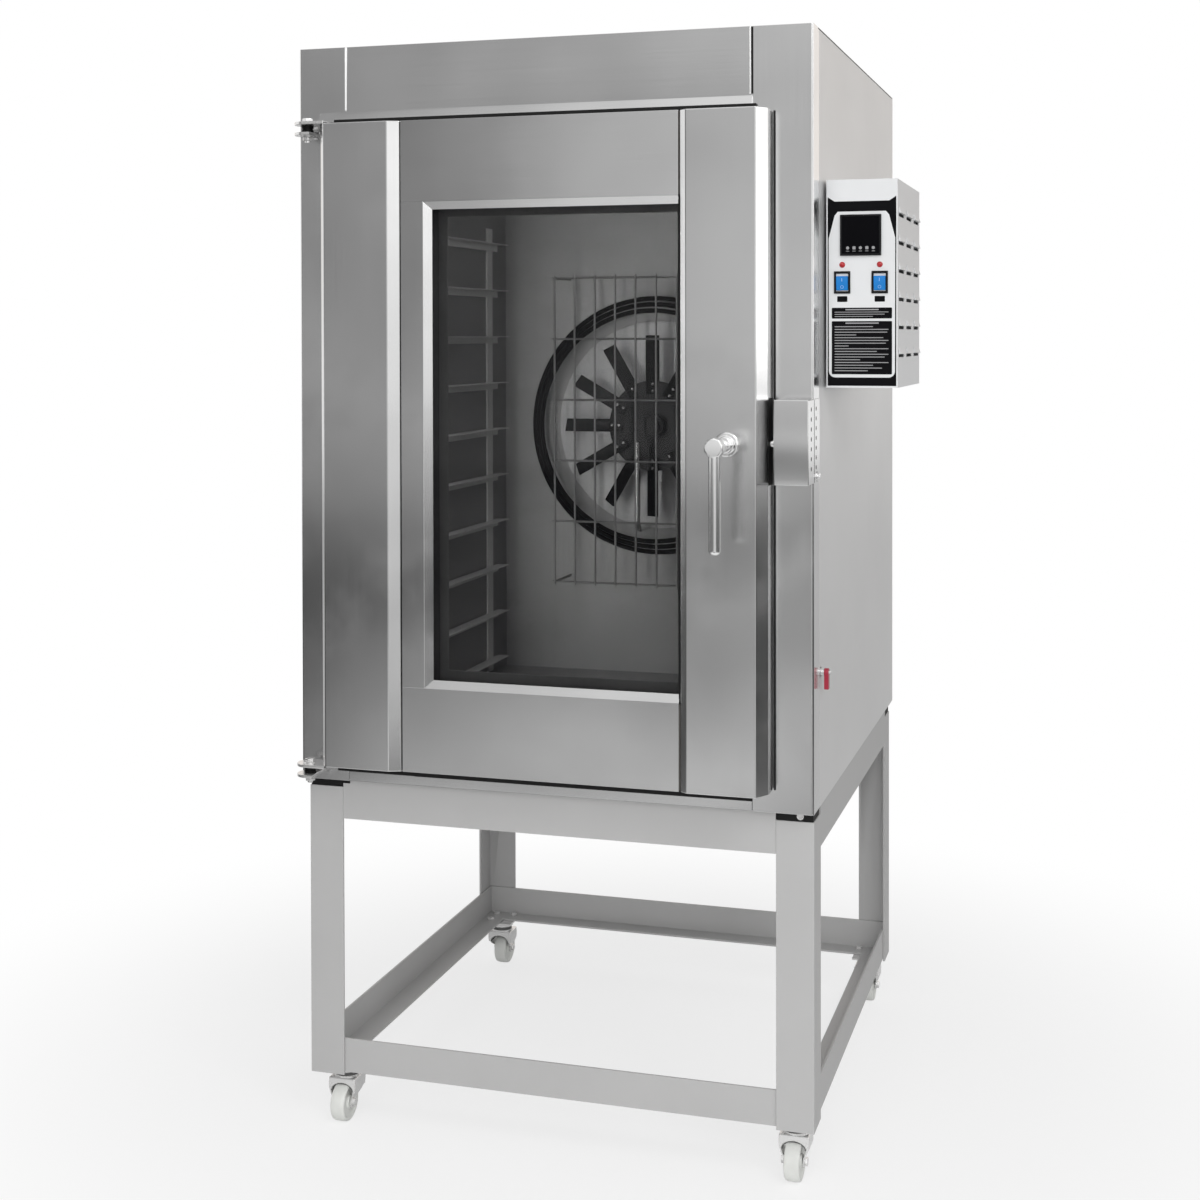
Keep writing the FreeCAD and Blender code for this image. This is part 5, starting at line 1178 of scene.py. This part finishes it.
def area_light(name, place, target, size, watts):
    """Rectangular lamp aimed at a point."""
    data = bpy.data.lights.new(name, "AREA")
    data.shape = "RECTANGLE"
    data.size, data.size_y = size
    data.energy = watts
    obj = linked(name, data)
    aim = (at(*target) - at(*place)).to_track_quat("-Z", "Y")
    obj.matrix_world = Matrix.Translation(at(*place)) @ aim.to_matrix().to_4x4()
    return obj


def floor():
    """Pale floor that fades to white for the camera. Shiny pieces see it as the floor of a room, with painted
    light and shade on it.
    """
    bpy.ops.mesh.primitive_plane_add(size=30.0)
    obj = bpy.context.object
    obj.name = "studio_floor"
    material, coords = new_material("studio_floor")
    x, y = along(coords, "X"), along(coords, "Y")
    reach = coords.add("VectorMath", {0: coords}, "Value", operation="LENGTH")
    seen = coords.add("LightPath", output="Is Camera Ray")
    far = slide(reach, 0.6, 1.7, 0.7, 1.0) * seen
    # Ahead of the oven, for all but camera rays: painted shade to the left, a painted shaded lane and a
    # painted bright beam
    ahead = slide(x, -2.5, -0.9, 0.12, 0.53) * slide(x, 3.5, 1.2, 0.1, 1.0)
    lane = x + y * 0.33
    shade = slide(lane, -1.0, -0.75) * slide(lane, 0.3, 0.0) * slide(y, -1.2, -1.8)
    ahead = ahead * (1.0 - shade * 0.8)
    aside = (x - 0.25) / (-0.5 - y)
    beam = slide(aside, 0.0, 0.14) * slide(aside, 0.9, 0.6) * slide(y, -1.6, -2.6)
    ahead = blend(ahead, FLOOR_PALE, slide(reach, 3.0, 4.5) * beam)
    # Near the oven and behind it: pale
    near = slide(reach, 2.3, 1.4) * slide(x, -1.1, -0.3, 0.2, 1.0)
    behind = slide(y, -0.6, 1.2) * slide(x - y * 1.4, 1.5, 0.6)
    room = blend(ahead, FLOOR_PALE, near + behind - near * behind)
    grey = mix(blend(room, FLOOR_SEEN, seen), colour(0.0), colour(1.0))
    pale = coords.add("BsdfDiffuse", {"Color": grey})
    white = coords.add("Emission", {"Color": (1.0, 1.0, 1.0, 1.0), "Strength": 1.0})
    shader = coords.add("MixShader", {0: far, 1: pale, 2: white})
    coords.add("OutputMaterial", {"Surface": shader})
    obj.data.materials.append(material)


def room_light(x, y, z):
    """Brightness of the room in a direction, as shiny pieces see it."""
    # In front on the left: grey, with a pale band at window height and a dark flag
    window_band = slide(z, -0.11, -0.06) * slide(z, 0.02, -0.025)
    left_room = slide(x, -0.46, -0.16, 0.20, 0.5) + window_band * 0.36 + slide(z, 0.03, 0.15) * 0.12
    flag = slide(x, -0.86, -0.76) * slide(x, -0.5, -0.6)
    left_room = blend(left_room, 1.0, slide(x, -0.76, -0.9)) - flag * 0.16
    # In front on the right: bright, and dark low down and at the far end
    right_room = 1.2 - slide(z, -0.02, -0.09) * 0.95
    right_room = right_room - slide(x, 0.82, 0.9) * right_room * 0.85
    room = blend(left_room, right_room, slide(x, -0.05, 0.3))
    bright = blend(1.0, room, slide(y, 0.1, -0.55))
    bright = blend(bright, 1.0, slide(z, 0.22, 0.5) * slide(x, -0.42, -0.2))
    # On the right side: a low dark bench and a bright doorway above it
    bench = slide(x, 0.6, 0.85) * slide(z, -0.02, -0.06) * slide(y, 0.6, 0.45) * slide(y, 0.05, 0.18)
    bright = bright - bench * bright * 0.85
    doorway = slide(x, 0.78, 0.87) * slide(y, 0.14, 0.22) * slide(y, 0.46, 0.38)
    doorway = doorway * slide(z, -0.05, -0.025) * slide(z, 0.4, 0.3)
    return bright + doorway * 1.3


def studio_world():
    """White to the camera, a room to shiny pieces and glass, and an even light to the rest."""
    world = bpy.data.worlds.new("studio")
    bpy.context.scene.world = world
    world.use_nodes = True
    world.node_tree.nodes.clear()
    start = Wire(world.node_tree, None)
    way = start.add("TexCoord", output="Generated")
    x, y, z = (along(way, axis) for axis in "XYZ")
    shiny = start.add("LightPath", output="Is Glossy Ray")
    through = start.add("LightPath", output="Is Transmission Ray")
    seen = start.add("LightPath", output="Is Camera Ray")
    level = blend(AMBIENT, room_light(x, y, z), shiny + through)
    level = blend(level, 1.0, seen)
    glow = mix(shiny * slide(y, 0.2, 0.6) * slide(z, -0.03, 0.05), colour(1.0), (1.0, 0.945, 0.90, 1.0))
    back = start.add("Background", {"Color": glow, "Strength": level})
    start.add("OutputWorld", {"Surface": back})


def studio():
    """Camera, floor, surroundings and lamps."""
    bpy.context.scene.view_settings.view_transform = "Standard"
    camera()
    floor()
    studio_world()
    area_light("key", (2300, -2300, 3400), (0, 300, 1000), (1.6, 1.6), 36.0)
    area_light("chamber_lamp", (120, 60, 1610), (0, 700, 900), (0.4, 0.08), 1.0)
    area_light("chamber_strip", (-285, 25, 1120), (160, 700, 1080), (0.06, 0.9), 1.9)
    front = area_light("front_fill", (500, -3300, 1500), (0, 0, 700), (2.5, 2.5), 60.0)
    front.visible_glossy = False


studio()
cabinet_skin()
rear_screws()
door_uprights()
door_panel()
window()
glass_retainer()
hinges()
latch()
handle()
chamber()
fan_plate()
fan_rivets()
control_box()
panel_print()
controller()
rockers()
lamps()
steam_valve()
stand()
casters()
services()
plain_nodes()
